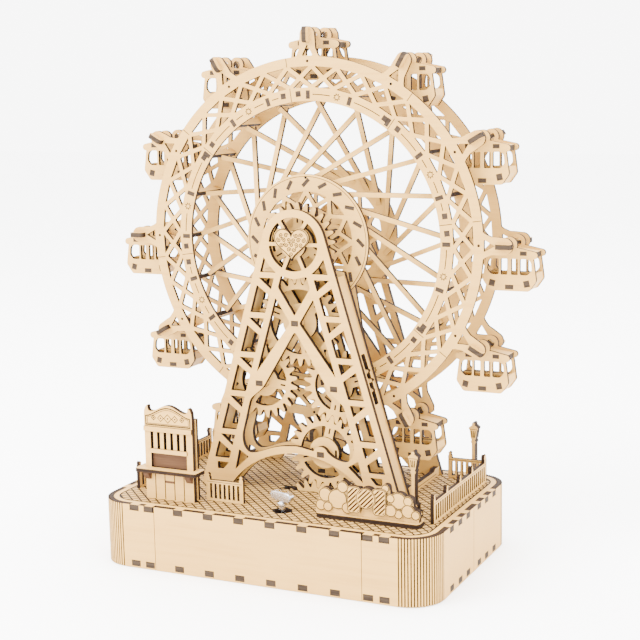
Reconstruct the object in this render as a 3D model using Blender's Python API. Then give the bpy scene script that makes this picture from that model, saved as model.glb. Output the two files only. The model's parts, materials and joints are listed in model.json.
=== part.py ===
"""Wooden ferris wheel music box, laser cut from plywood, as separate pieces.

X runs to the right along the front, Y runs to the back and Z runs up. The origin is the centre of
the base's underside. Every flat piece is drawn in its own plane and given its ply's thickness.
"""

import math

import bmesh
import bpy
from mathutils import Matrix, Vector
from mathutils.geometry import tessellate_polygon

MM = 0.001

# Sheets and clearances
PLY = 3.0 * MM
THIN_PLY = 2.0 * MM
GAP = 0.3 * MM
SNAP = 0.0005 * MM
FULL_TURN = 360
HALF_TURN = 180

# Base box
BASE_WIDTH = 194.0 * MM
BASE_DEPTH = 125.0 * MM
BASE_HEIGHT = 35.0 * MM
BASE_CORNER = 18.0 * MM
BASE_FLOOR_LIFT = 1.0 * MM
PANEL_WIDTH = 120.0 * MM
FRONT_TAB_PITCH = 18.1 * MM
CORNER_TAB_OFFSET = 72.2 * MM
SIDE_TAB_OFFSETS = (8.7 * MM, 20.8 * MM, 33.3 * MM)
TAB_WIDTH = 5.2 * MM
CORNER_STEPS = 6

# Wheel
WHEEL_HEIGHT = 136.0 * MM
WHEEL_MIDDLE = 27.5 * MM
RIM_SPACING = 30.0 * MM
HUB_SPACING = 39.8 * MM
RIM_OUTER = 98.15 * MM
RIM_OUTER_BAND = 5.0 * MM
RIM_INNER = 74.7 * MM
RIM_INNER_BAND = 7.3 * MM
LATTICE_STRIP = 2.2 * MM
LATTICE_CELLS = 40
LATTICE_START = 7.5
AXLE_RADIUS = 3.0 * MM
HUB_RING_OUTER = 36.0 * MM
HUB_RING_INNER = 27.0 * MM
HUB_BOSS = 9.0 * MM
HUB_CROSSING = 19.5 * MM
HUB_PETALS = 12
HUB_STRIP = 2.0 * MM
SPOKE_COUNT = 20
SPOKE_SWEEP = 36.0
SPOKE_SEAT = 31.5 * MM
SPOKE_WIDTH = 2.6 * MM
SPOKE_OVERSHOOT = 4.5 * MM
SPOKE_END_GAP = 0.8 * MM
TIE_RADIUS = 78.0 * MM
TIE_HEIGHT = 4.5 * MM
TIE_WIDTH = 2.3 * MM

# Gondolas and the brackets that hold them
GONDOLA_COUNT = 12
PIVOT_RADIUS = 109.5 * MM
BRACKET_HEAD = 4.6 * MM
BRACKET_FOOT = 14.0 * MM
BRACKET_WAIST = 104.5 * MM
BRACKET_WINDOW = 6.4 * MM
BRACKET_WAIST_WIDTH = 9.4 * MM
BRACKET_HEAD_DEGREES = (-95, -35, 35, 95)
GONDOLA_DEPTH = 16.0 * MM
GONDOLA_PIN = 2.0 * MM
ROOF_EDGE_SHARES = ((0.0, 0.7), (0.6, 0.1))
TUB_SLANT_SHARES = (0.7, 0.3)
TUB_RIM_SHARE = 0.72
EAR_RADIUS = 5.0 * MM
ROOF_HALF = 15.0 * MM
ROOF_TOP = 2.5 * MM
ROOF_DEPTH = 3.5 * MM
BODY_TOP_HALF = 12.8 * MM
BODY_WAIST_HALF = 14.4 * MM
BODY_WAIST_DROP = 18.5 * MM
BODY_FOOT_HALF = 10.5 * MM
BODY_DROP = 24.0 * MM
TUB_WALL = 1.0 * MM
TUB_MARGIN = 0.4 * MM
ROOF_SLAB = 3.0 * MM
WINDOW_TOP = 7.6 * MM
WINDOW_BOTTOM = 15.5 * MM
WINDOW_INNER = 1.0 * MM
WINDOW_OUTER = 10.8 * MM

# Tower
TOWER_FRONT = -10.5 * MM
TOWER_GAP = 9.0 * MM
REAR_TOWER_FRONT = 51.5 * MM
FOOT_HALF = 60.0 * MM
HEAD_RADIUS = 18.6 * MM
HEAD_WINDOW = 14.4 * MM
HEAD_CENTRE = 7.2 * MM
HEAD_BAR = 1.9 * MM
HEAD_BAR_DEGREES = (0, 57, 123, 180, 246, 294)
HEAD_SHARES = (0.0, 0.5)
SMALL_HEAD = 14.0 * MM
RAIL_WIDTH = 4.5 * MM
LADDER_WIDTH = 16.8 * MM
RUNG_WIDTH = 3.0 * MM
RUNG_PITCH = 22.1 * MM
TOP_RUNG = 119.1 * MM
LADDER_FOOT = 14.0 * MM
STRUT_DROP = 8.2 * MM
STRUT_WIDTH = 3.0 * MM
TRUSS_WIDTH = 4.4 * MM
TRUSS_TOP = 110.0 * MM
ARCH_FOOT_HALF = 42.0 * MM
ARCH_CROWN = 22.0 * MM
ARCH_BAND = 4.1 * MM
ARCH_STEPS = 8
ARCH_OPEN_SHARES = (0.2, 0.26, 0.34, 0.42)
ARCH_MIDDLE_SHARE = 0.5
ARCH_SIDE_SHARE = 0.115
YARD_SHOULDER_DROP = 2.2 * MM
YARD_TOP_DROP = 9.0 * MM
YARD_CORNER_INSET = 0.5 * MM
YARD_FOOT_DROP = 1.8 * MM
YARD_FOOT_INSET = 5.4 * MM
YARD_BUMP_DEGREES = (25, 90, 155)
SMALL_HOLE_TOP = 15.8 * MM
SMALL_HOLE_BOTTOM = 6.7 * MM
SIDE_BOARD_INSET = 0.6 * MM
SIDE_BOARD_TOP = 119.0 * MM
SIDE_BOARD_BOTTOM = 4.0 * MM
FOOT_RAIL_HEIGHT = 5.0 * MM
FOOT_RAIL_OFFSET = 57.0 * MM
HEART_WIDTH = 20.5 * MM
HEART_HEIGHT = 17.3 * MM
HEART_STEPS = 22
HEART_THICKNESS = 1.7 * MM
HEART_WAVE_SHARES = (13 / 29, -5 / 29, -2 / 29, -1 / 29)
HEART_LIFT_SHARE = 0.09

# Gear train
TOOTH_MODULE = 1.6 * MM
TOOTH_ADDENDUM = 1.95 * MM
TOOTH_DEDENDUM = 2.35 * MM
GEAR_CLEARANCE = 0.9 * MM
GEAR_THICKNESS = 3.0 * MM
GEAR_BORE = 3.3 * MM
GEAR_RIM = 4.6 * MM
GEAR_HUB_SHARE = 0.45
GEAR_SPOKE_HALF_WIDTH = 2.6 * MM
GEAR_SPOKE_TURN = 120
TEETH_A = 25
TEETH_B = 28
TEETH_C = 23
TEETH_D = 23
TEETH_E = 24
TEETH_F = 20
ANGLE_B_TO_D = -56.9
ANGLE_D_TO_E = -103.0
ANGLE_E_TO_F = -102.8
AXLE_TAB_WIDTH = 4.0 * MM
AXLE_TAB_HEIGHT = 2.8 * MM

# Music movement under the deck
BEDPLATE_THICKNESS = 2.0 * MM
BEDPLATE_WIDTH = 42.0 * MM
BEDPLATE_MARGIN = 1.5 * MM
BEDPLATE_BACK = 14.0 * MM
BARREL_RADIUS = 12.0 * MM
BARREL_HEIGHT = 17.0 * MM
BARREL_CLEARANCE = 2.8 * MM
KEY_X = 6.4 * MM
KEY_SETBACK = 20.2 * MM
ARBOR_RADIUS = 1.8 * MM
ARBOR_HEAD = 2.5 * MM
KEY_HOLE = 4.3 * MM
KEY_WIDTH = 16.0 * MM
KEY_HEIGHT = 6.4 * MM
KEY_THICKNESS = 2.2 * MM
KEY_STEM = 2.3 * MM
KEY_WING_SHARES = ((0.2, -0.8), (0.75, -0.7), (1.0, 0.0), (0.8, 1.0), (0.4, 1.0), (0.0, 0.45))
KEY_LIFT_SHARE = 0.7
DRUM_RADIUS = 5.6 * MM
DRUM_BACK = 9.5 * MM
DRUM_SHAFT = 2.0 * MM
COMB_REACH = 16.0 * MM
COMB_TEETH = 9
COMB_THICKNESS = 1.4 * MM
COMB_BODY = 8.0 * MM
GOVERNOR_REACH = 9.5 * MM
GOVERNOR_HEIGHT = 17.0 * MM
GOVERNOR_WALL = 1.6 * MM
FAN_RADIUS = 3.4 * MM
FAN_BLADE = 1.0 * MM

# Deck furniture
FENCE_THICKNESS = 2.0 * MM
FENCE_HEIGHT = 13.4 * MM
FENCE_POST = 2.8 * MM
FENCE_RAIL = 2.0 * MM
FENCE_BASE = 1.6 * MM
FINIAL = 2.4 * MM
BALUSTER = 1.4 * MM
SIDE_FENCE_INSET = 10.1 * MM
SIDE_FENCE_FRONT_SETBACK = 28.0 * MM
SIDE_FENCE_BACK_SETBACK = 16.0 * MM
SIDE_FENCE_GAPS = 24
RETURN_FENCE_SETBACK = 13.0 * MM
RETURN_FENCE_LENGTH = 22.0 * MM
RETURN_FENCE_GAPS = 5
SMALL_FENCE_SPACE = 3.1 * MM
SMALL_FENCE_LENGTH = 22.3 * MM
SMALL_FENCE_SETBACK = 23.5 * MM
SMALL_FENCE_GAPS = 7
BOOTH_INSET = 24.0 * MM
BOOTH_WIDTH = 29.6 * MM
BOOTH_SETBACK = 14.5 * MM
BOOTH_DEPTH = 24.0 * MM
BOOTH_TOP = 52.0 * MM
BOOTH_SHOULDER = 44.5 * MM
BOOTH_HORN = 51.0 * MM
BOOTH_HORN_WIDTH = 3.6 * MM
BOOTH_CURVE_SHARES = ((0.6, 0.22), (0.3, 0.86))
BOOTH_SIDE_INSET = 0.9 * MM
BOOTH_COUNTER_TOP = 17.4 * MM
BOOTH_COUNTER_WIDTH = 39.5 * MM
BOOTH_COUNTER_REACH = 6.0 * MM
BOOTH_POST = 4.6 * MM
BOOTH_WINDOW_TOP = 36.5 * MM
BOOTH_SHELF_TOP = 27.0 * MM
BOOTH_SHELF = 2.4 * MM
BOOTH_BARS = 5
BOOTH_BAR_WIDTH = 2.3 * MM
LAMP_FRONT_SPACE = 10.3 * MM
LAMP_FRONT_PLACE = -13.7 * MM
LAMP_REAR_SPACE = 18.0 * MM
LAMP_REAR_SETBACK = 6.3 * MM
LAMP_HEIGHT = 31.4 * MM
LAMP_HEAD_HEIGHT = 10.9 * MM
LAMP_HEAD_WIDTH = 8.0 * MM
LAMP_POST_WIDTH = 3.0 * MM
LAMP_DEPTH = 5.0 * MM
LAMP_FOOT_WIDTH = 5.0 * MM
LAMP_FOOT_HEIGHT = 4.0 * MM
LAMP_EAVE_HEIGHT = 27.8 * MM
LAMP_HEAD_SHARES = (0.6, 0.75, 0.3, 0.2)
LAMP_WINDOW_WIDTH = 3.2 * MM
LAMP_WINDOW_HEIGHT = 3.6 * MM
SIGN_LEFT = 25.0 * MM
SIGN_INSET = 13.0 * MM
SIGN_SETBACK = 21.5 * MM
SIGN_HEIGHT = 13.0 * MM
SIGN_PLANK_DEPTH = 10.0 * MM
SIGN_PLANK_SHIFT = 2.0 * MM
BUSH_RADIUS = 5.6 * MM
BUSH_COUNT = 7
BUSH_STEPS = 5

# Derived places
DECK_TOP = BASE_HEIGHT
DECK_UNDER = BASE_HEIGHT - PLY
HUB_Z = BASE_HEIGHT + WHEEL_HEIGHT
HALF_WIDTH = BASE_WIDTH / 2
HALF_DEPTH = BASE_DEPTH / 2
KEY_Y = KEY_SETBACK - HALF_DEPTH
BEDPLATE_FRONT = HALF_DEPTH - PLY - BEDPLATE_MARGIN
DRUM_FRONT = -KEY_Y - BARREL_RADIUS - BARREL_CLEARANCE
SIDE_FENCE_OFFSET = HALF_WIDTH - SIDE_FENCE_INSET
SIDE_FENCE_FRONT = SIDE_FENCE_FRONT_SETBACK - HALF_DEPTH
SIDE_FENCE_BACK = HALF_DEPTH - SIDE_FENCE_BACK_SETBACK
RETURN_FENCE_PLACE = HALF_DEPTH - RETURN_FENCE_SETBACK
BOOTH_LEFT = BOOTH_INSET - HALF_WIDTH
BOOTH_FRONT = BOOTH_SETBACK - HALF_DEPTH
SMALL_FENCE_LEFT = BOOTH_LEFT + BOOTH_WIDTH + SMALL_FENCE_SPACE
SMALL_FENCE_PLACE = SMALL_FENCE_SETBACK - HALF_DEPTH
LAMP_PLACES = ((FOOT_HALF + LAMP_FRONT_SPACE, LAMP_FRONT_PLACE),
               (FOOT_HALF + LAMP_REAR_SPACE, HALF_DEPTH - LAMP_REAR_SETBACK))
SIGN_WIDTH = HALF_WIDTH - SIGN_INSET - SIGN_LEFT
SIGN_PLACE = SIGN_SETBACK - HALF_DEPTH
INNER_TOWER_FRONT = TOWER_FRONT + PLY + TOWER_GAP
GEAR_FRONT = TOWER_FRONT + PLY + (TOWER_GAP - GEAR_THICKNESS) / 2
RIM_FRONT_Y = WHEEL_MIDDLE - RIM_SPACING / 2
RIM_REAR_Y = WHEEL_MIDDLE + RIM_SPACING / 2
HUB_FRONT_Y = WHEEL_MIDDLE - HUB_SPACING / 2
HUB_REAR_Y = WHEEL_MIDDLE + HUB_SPACING / 2

# Drawing planes: each maps drawing x, drawing y and depth into the world
LYING = Matrix.Identity(3)
STANDING = Matrix(((1, 0, 0), (0, 0, 1), (0, 1, 0)))
SIDEWAYS = Matrix(((0, 0, 1), (1, 0, 0), (0, 1, 0)))


def remove_all():
    """Empty the scene."""
    for item in list(bpy.data.objects):
        bpy.data.objects.remove(item, do_unlink=True)


def make_material(name, colour, roughness, metallic=0.0):
    """Return a plain Principled material."""
    material = bpy.data.materials.new(name)
    material.use_nodes = True
    shader = material.node_tree.nodes["Principled BSDF"]
    shader.inputs["Base Color"].default_value = (*colour, 1.0)
    shader.inputs["Roughness"].default_value = roughness
    shader.inputs["Metallic"].default_value = metallic
    material.diffuse_color = (*colour, 1.0)
    return material


class Solid:
    """One closed body made of walls and caps, drawn in a plane and given depth."""

    def __init__(self, plane=STANDING):
        self.mesh = bmesh.new()
        self.plane = plane
        self.known = {}

    def vertex(self, point, depth):
        """Return the vertex at a drawing point and depth, made once."""
        key = (round(point[0] / SNAP), round(point[1] / SNAP), round(depth / SNAP))
        if key not in self.known:
            place = self.plane @ Vector((point[0], point[1], depth))
            self.known[key] = self.mesh.verts.new(place)
        return self.known[key]

    def wall(self, loop, near, far):
        """Raise a wall on a closed loop between two depths."""
        for first, second in zip(loop, loop[1:] + loop[:1]):
            corners = (self.vertex(first, near), self.vertex(second, near),
                       self.vertex(second, far), self.vertex(first, far))
            self.mesh.faces.new(corners)

    def cap(self, depth, outer, holes=()):
        """Close the region between an outline and its holes at one depth."""
        loops = [outer, *holes]
        flat = [point for loop in loops for point in loop]
        shape = [[Vector((x, y, 0)) for x, y in loop] for loop in loops]
        for triple in tessellate_polygon(shape):
            self.mesh.faces.new([self.vertex(flat[index], depth) for index in triple])

    def plate(self, outer, holes, near, far):
        """Make a whole flat piece with its holes."""
        for loop in (outer, *holes):
            self.wall(loop, near, far)
        self.cap(near, outer, holes)
        self.cap(far, outer, holes)

    def finish(self, name, material, origin=(0, 0, 0)):
        """Turn the body into a named object whose origin is the given point."""
        bmesh.ops.recalc_face_normals(self.mesh, faces=self.mesh.faces[:])
        if self.mesh.calc_volume(signed=True) < 0:
            bmesh.ops.reverse_faces(self.mesh, faces=self.mesh.faces[:])
        bmesh.ops.translate(self.mesh, verts=self.mesh.verts[:], vec=-Vector(origin))
        data = bpy.data.meshes.new(name)
        self.mesh.to_mesh(data)
        self.mesh.free()
        data.materials.append(material)
        item = bpy.data.objects.new(name, data)
        item.location = origin
        bpy.context.scene.collection.objects.link(item)
        return item


def plate(name, outer, holes, near, far, material, plane=STANDING, origin=(0, 0, 0)):
    """Make one flat piece as its own object."""
    body = Solid(plane)
    body.plate(outer, holes, near, far)
    return body.finish(name, material, origin)


def fuse(item, others, solver="EXACT"):
    """Join glued pieces to an object with a union each."""
    for index, other in enumerate(others):
        other.hide_render = True
        other.display_type = "WIRE"
        joint = item.modifiers.new(f"glued_{index}", "BOOLEAN")
        joint.operation = "UNION"
        joint.solver = solver
        joint.object = other
    return item


def polar(radius, degrees, centre=(0, 0)):
    """Return the point at a radius and angle."""
    turn = math.radians(degrees)
    return (centre[0] + radius * math.cos(turn), centre[1] + radius * math.sin(turn))


def arc(radius, start, end, steps, centre=(0, 0)):
    """Return points along an arc, both ends included."""
    return [polar(radius, start + (end - start) * step / steps, centre) for step in range(steps + 1)]


def circle(radius, steps, centre=(0, 0), start=0.0):
    """Return a closed round loop."""
    return arc(radius, start, start + FULL_TURN, steps, centre)[:-1]


def rectangle(left, bottom, right, top):
    """Return a closed rectangle."""
    return [(left, bottom), (right, bottom), (right, top), (left, top)]


def centred_rectangle(width, height, centre=(0, 0)):
    """Return a closed rectangle about a centre."""
    x, y = centre
    return rectangle(x - width / 2, y - height / 2, x + width / 2, y + height / 2)


def between(first, second, share):
    """Return the point that lies a share of the way along a line."""
    return (first[0] + (second[0] - first[0]) * share, first[1] + (second[1] - first[1]) * share)


def mirrored(loop):
    """Return a loop on the other side of the middle."""
    return [(-x, y) for x, y in reversed(loop)]


def inset(corners, distances):
    """Move each edge of a convex loop inwards by its own distance."""
    area = sum(a[0] * b[1] - b[0] * a[1] for a, b in zip(corners, corners[1:] + corners[:1]))
    side = 1 if area > 0 else -1
    lines = []
    for first, second, distance in zip(corners, corners[1:] + corners[:1], distances):
        run = Vector((second[0] - first[0], second[1] - first[1])).normalized()
        normal = Vector((-run.y, run.x)) * side
        lines.append((Vector(first) + normal * distance, run))
    return [crossing(lines[index - 1], lines[index]) for index in range(len(lines))]


def crossing(first, second):
    """Return where two lines meet, each given as a point and a direction."""
    (point, run), (other, way) = first, second
    span = run.x * way.y - run.y * way.x
    gap = other - point
    share = (gap.x * way.y - gap.y * way.x) / span
    return tuple(point + run * share)


# Base box

def rounded_corner(inset_by, quadrant):
    """Return one corner's arc of the base, inset from the outer face, anticlockwise."""
    signs = ((1, 1), (-1, 1), (-1, -1), (1, -1))[quadrant]
    centre = (signs[0] * (HALF_WIDTH - BASE_CORNER), signs[1] * (HALF_DEPTH - BASE_CORNER))
    start = quadrant * 90
    return arc(BASE_CORNER - inset_by, start, start + 90, CORNER_STEPS, centre)


def front_tab_centres():
    """Return the places of the tabs along the front and the back."""
    first = FRONT_TAB_PITCH / 2
    inner = [first + FRONT_TAB_PITCH * index for index in range(4)] + [CORNER_TAB_OFFSET]
    return [-place for place in reversed(inner)] + inner


def side_tab_centres():
    """Return the places of the tabs along each side."""
    return [-place for place in reversed(SIDE_TAB_OFFSETS)] + list(SIDE_TAB_OFFSETS)


def deck_outline():
    """Return the deck's edge with a tab wherever a wall has a notch."""
    inner = PLY + GAP
    half = TAB_WIDTH / 2
    edge, back_face = HALF_DEPTH - inner, HALF_DEPTH
    side, face = HALF_WIDTH - inner, HALF_WIDTH
    right = [point for y in side_tab_centres()
             for point in ((side, y - half), (face, y - half), (face, y + half), (side, y + half))]
    back = [point for x in reversed(front_tab_centres())
            for point in ((x + half, edge), (x + half, back_face), (x - half, back_face), (x - half, edge))]
    corners = [rounded_corner(inner, quadrant) for quadrant in range(4)]
    left = [(-x, -y) for x, y in right]
    front = [(-x, -y) for x, y in back]
    return right + corners[0] + back + corners[1] + left + corners[2] + front + corners[3]


def plain_outline(inner):
    """Return the rounded rectangle a distance inside the base's outer face."""
    return [point for quadrant in range(4) for point in rounded_corner(inner, quadrant)]


def gear_slots(level):
    """Return the slot that lets the lowest gear through a sheet at a level, if it reaches it."""
    gear = gear_centres()["F"]
    reach = gear_radius(TEETH_F) + TOOTH_ADDENDUM + GEAR_CLEARANCE
    drop = abs(gear[1] - level)
    if drop >= reach:
        return []
    half = math.sqrt(reach ** 2 - drop ** 2) + GAP
    near = GEAR_FRONT - GEAR_CLEARANCE
    far = GEAR_FRONT + GEAR_THICKNESS + GEAR_CLEARANCE
    return [rectangle(gear[0] - half, near, gear[0] + half, far)]


def make_deck(wood):
    """Make the deck with the slot of the lowest gear and the hole of the key."""
    hole = circle(KEY_HOLE, 12, (KEY_X, KEY_Y))
    holes = [*gear_slots(DECK_UNDER), hole]
    plate("base_deck", deck_outline(), holes, DECK_UNDER, DECK_TOP, wood, LYING)


def make_bottom(wood):
    """Make the base's floor."""
    top = BASE_FLOOR_LIFT + PLY
    plate("base_bottom", plain_outline(PLY + GAP), gear_slots(top), BASE_FLOOR_LIFT, top, wood, LYING)


def make_panel(name, front, wood):
    """Make the straight wall in the middle of the front or the back, notched for the deck."""
    half = PANEL_WIDTH / 2 - GAP / 2
    notch = TAB_WIDTH / 2 + GAP
    low = DECK_UNDER - GAP
    centres = [place for place in front_tab_centres() if abs(place) < half]
    high = BASE_HEIGHT
    top = [point for x in reversed(centres)
           for point in ((x + notch, high), (x + notch, low), (x - notch, low), (x - notch, high))]
    outline = [(-half, 0), (half, 0), (half, high), *top, (-half, high)]
    near = -HALF_DEPTH if front else HALF_DEPTH - PLY
    plate(name, outline, [], near, near + PLY, wood)


def make_corner(name, sign_x, sign_y, wood):
    """Make one bent corner wall from a row of cells, with notches for the deck's tabs."""
    notch = TAB_WIDTH / 2 + GAP
    start = PANEL_WIDTH / 2 + GAP / 2
    flat_end = HALF_WIDTH - BASE_CORNER
    fronts = [place for place in front_tab_centres() if start < place < flat_end]
    sides = [place for place in side_tab_centres() if place > 0]
    marks = [((start, HALF_DEPTH), (start, HALF_DEPTH - PLY))]
    gaps = []
    for place in fronts:
        gaps.append(len(marks))
        marks += [((x, HALF_DEPTH), (x, HALF_DEPTH - PLY)) for x in (place - notch, place + notch)]
    centre = (flat_end, HALF_DEPTH - BASE_CORNER)
    outer = arc(BASE_CORNER, 90, 0, CORNER_STEPS, centre)
    inner = arc(BASE_CORNER - PLY, 90, 0, CORNER_STEPS, centre)
    marks += list(zip(outer, inner))
    for place in reversed(sides):
        gaps.append(len(marks))
        marks += [((HALF_WIDTH, y), (HALF_WIDTH - PLY, y)) for y in (place + notch, place - notch)]
    marks.append(((HALF_WIDTH, GAP / 2), (HALF_WIDTH - PLY, GAP / 2)))
    marks = [[(sign_x * x, sign_y * y) for x, y in mark] for mark in marks]
    build_strip(name, marks, gaps, wood)


def build_strip(name, marks, gaps, wood):
    """Build an upright bent wall whose top is notched at the cells that are listed."""
    body = Solid(LYING)
    low = DECK_UNDER - GAP
    loop = [mark[0] for mark in marks] + [mark[1] for mark in reversed(marks)]
    body.cap(0, loop)
    levels = [BASE_HEIGHT if index not in gaps else low for index in range(len(marks) - 1)]
    for index, top in enumerate(levels):
        (a, b), (c, d) = marks[index], marks[index + 1]
        for first, second in ((a, c), (b, d)):
            add_side(body, first, second, low, top)
        body.mesh.faces.new([body.vertex(point, top) for point in (a, c, d, b)])
    add_end(body, marks[0], low, levels[0])
    add_end(body, marks[-1], low, levels[-1])
    for index in range(1, len(levels)):
        if levels[index] != levels[index - 1]:
            a, b = marks[index]
            body.mesh.faces.new([body.vertex(a, low), body.vertex(b, low),
                                 body.vertex(b, BASE_HEIGHT), body.vertex(a, BASE_HEIGHT)])
    body.finish(name, wood)


def add_side(body, first, second, low, top):
    """Add one cell's upright face, with a point where its notch starts."""
    body.mesh.faces.new([body.vertex(first, 0), body.vertex(second, 0),
                         body.vertex(second, low), body.vertex(first, low)])
    if top > low:
        body.mesh.faces.new([body.vertex(first, low), body.vertex(second, low),
                             body.vertex(second, top), body.vertex(first, top)])


def add_end(body, mark, low, top):
    """Close the end of a bent wall."""
    a, b = mark
    for start, stop in ((0, low), (low, top)):
        body.mesh.faces.new([body.vertex(a, start), body.vertex(b, start),
                             body.vertex(b, stop), body.vertex(a, stop)])


# Gear train

def gear_radius(teeth):
    """Return a gear's pitch radius."""
    return TOOTH_MODULE * teeth / 2


def gear_centres():
    """Return each gear's centre in the tower's plane, from the wheel's axle down."""
    top = (0, HUB_Z)
    second = (0, HUB_Z - gear_radius(TEETH_A) - gear_radius(TEETH_B))
    right = polar(gear_radius(TEETH_B) + gear_radius(TEETH_D), ANGLE_B_TO_D, second)
    left = polar(gear_radius(TEETH_B) + gear_radius(TEETH_C), HALF_TURN - ANGLE_B_TO_D, second)
    lower = polar(gear_radius(TEETH_D) + gear_radius(TEETH_E), ANGLE_D_TO_E, right)
    drum = polar(gear_radius(TEETH_E) + gear_radius(TEETH_F), ANGLE_E_TO_F, lower)
    return {"A": top, "B": second, "C": left, "D": right, "E": lower, "F": drum}


def meshed_phase(phase, teeth, centre, next_teeth, next_centre):
    """Return the turn that puts a gap of the next gear where a tooth of this one points."""
    heading = math.degrees(math.atan2(next_centre[1] - centre[1], next_centre[0] - centre[0]))
    place = (heading - phase) * teeth / FULL_TURN
    return heading + HALF_TURN - (FULL_TURN / next_teeth) * (0.5 - place)


def gear_phases():
    """Return each gear's turn at rest, so that all teeth mesh."""
    centres = gear_centres()
    phases = {"A": 90.0}
    chain = (("A", TEETH_A, "B", TEETH_B), ("B", TEETH_B, "C", TEETH_C), ("B", TEETH_B, "D", TEETH_D),
             ("D", TEETH_D, "E", TEETH_E), ("E", TEETH_E, "F", TEETH_F))
    for first, teeth, second, next_teeth in chain:
        phases[second] = meshed_phase(phases[first], teeth, centres[first], next_teeth, centres[second])
    return phases


def gear_outline(teeth, phase, centre):
    """Return the pointed teeth of a gear as one loop."""
    radius = gear_radius(teeth)
    step = FULL_TURN / teeth
    loop = []
    for index in range(teeth):
        turn = phase + index * step
        loop.append(polar(radius + TOOTH_ADDENDUM, turn, centre))
        loop.append(polar(radius - TOOTH_DEDENDUM, turn + step / 2, centre))
    return loop


def gear_windows(teeth, phase, centre):
    """Return the three curved windows between a gear's wide spokes."""
    outer = gear_radius(teeth) - GEAR_RIM
    inner = gear_radius(teeth) * GEAR_HUB_SHARE
    outer_turn = math.degrees(math.asin(GEAR_SPOKE_HALF_WIDTH / outer))
    inner_turn = math.degrees(math.asin(GEAR_SPOKE_HALF_WIDTH / inner))
    windows = []
    for index in range(3):
        start = phase + index * GEAR_SPOKE_TURN
        rim = arc(outer, start + outer_turn, start + GEAR_SPOKE_TURN - outer_turn, 3, centre)
        hub = arc(inner, start + GEAR_SPOKE_TURN - inner_turn, start + inner_turn, 1, centre)
        windows.append(rim + hub)
    return windows


def make_gear(name, letter, teeth, wood):
    """Make one gear in the tower's gap, bored for its axle."""
    centre = gear_centres()[letter]
    phase = gear_phases()[letter]
    holes = gear_windows(teeth, phase, centre) + [circle(GEAR_BORE, 8, centre)]
    far = GEAR_FRONT + GEAR_THICKNESS
    origin = (centre[0], GEAR_FRONT + GEAR_THICKNESS / 2, centre[1])
    plate(name, gear_outline(teeth, phase, centre), holes, GEAR_FRONT, far, wood, STANDING, origin)


def make_gear_axle(name, centre, wood):
    """Make a fixed axle that is tabbed through both tower plates."""
    tab = centred_rectangle(AXLE_TAB_WIDTH, AXLE_TAB_HEIGHT, centre)
    core = circle(AXLE_RADIUS, 8, centre, 22.5)
    front = TOWER_FRONT + GAP / 2
    start = TOWER_FRONT + PLY + GAP
    end = INNER_TOWER_FRONT - GAP
    back = INNER_TOWER_FRONT + PLY - GAP / 2
    body = Solid()
    body.cap(front, tab)
    body.wall(tab, front, start)
    body.cap(start, core, [tab])
    body.wall(core, start, end)
    body.cap(end, core, [tab])
    body.wall(tab, end, back)
    body.cap(back, tab)
    body.finish(name, wood)


# Tower

def leg_slope():
    """Return how far a leg's outer edge moves inwards for each metre of height."""
    reach = math.hypot(FOOT_HALF, WHEEL_HEIGHT)
    heading = math.atan2(WHEEL_HEIGHT, -FOOT_HALF) - math.asin(HEAD_RADIUS / reach)
    return -1 / math.tan(heading)


def leg_x(height, inwards=0.0):
    """Return the outer edge's distance from the middle at a height above the deck."""
    return FOOT_HALF - height * leg_slope() - inwards


def leg_point(height, inwards=0.0):
    """Return a point on the right leg."""
    return (leg_x(height, inwards), DECK_TOP + height)


def arch_point(offset, share):
    """Return a point on the arch's edge; the share runs from its right foot to its left one."""
    half = ARCH_FOOT_HALF + offset
    rise = ARCH_CROWN + offset
    radius = (half ** 2 + rise ** 2) / (2 * rise)
    spread = math.degrees(math.asin(half / radius))
    centre = (0, DECK_TOP + rise - radius)
    return polar(radius, 90 - spread + 2 * spread * share, centre)


def tower_outline(head):
    """Return the tower's outer edge, with the arch cut out between its feet."""
    tilt = math.degrees(math.atan(leg_slope()))
    right = [(ARCH_FOOT_HALF, DECK_TOP), (FOOT_HALF, DECK_TOP)]
    if head < HEAD_RADIUS:
        shoulder = leg_point(TOP_RUNG + RUNG_WIDTH / 2)
        right.append(shoulder)
        start = math.degrees(math.asin((shoulder[1] + RUNG_WIDTH - HUB_Z) / head))
        top = arc(head, start, HALF_TURN - start, 8, (0, HUB_Z))
    else:
        top = arc(head, tilt, HALF_TURN - tilt, 10, (0, HUB_Z))
    left = [(-x, y) for x, y in reversed(right)]
    under = [arch_point(0, 1 - step / ARCH_STEPS) for step in range(1, ARCH_STEPS)]
    return right + top + left + under


def ladder_holes(braced):
    """Return the openings of the right leg, each bay split by a short strut where it is braced."""
    holes = []
    heights = [TOP_RUNG - RUNG_PITCH * index for index in range(5)]
    bays = list(zip(heights, heights[1:])) + [(heights[-1], LADDER_FOOT)]
    outer = RAIL_WIDTH
    inner = LADDER_WIDTH - RAIL_WIDTH
    for top, bottom in bays:
        top -= RUNG_WIDTH / 2
        bottom += RUNG_WIDTH / 2
        if braced and top - bottom > STRUT_DROP + STRUT_WIDTH:
            shift = STRUT_WIDTH / 2
            holes.append([leg_point(top, outer + shift), leg_point(top, inner),
                          leg_point(top - STRUT_DROP + shift, inner)])
            holes.append([leg_point(top - shift, outer), leg_point(top - STRUT_DROP - shift, inner),
                          leg_point(bottom, inner), leg_point(bottom, outer)])
        else:
            holes.append([leg_point(top, outer), leg_point(top, inner),
                          leg_point(bottom, inner), leg_point(bottom, outer)])
    return holes


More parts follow.
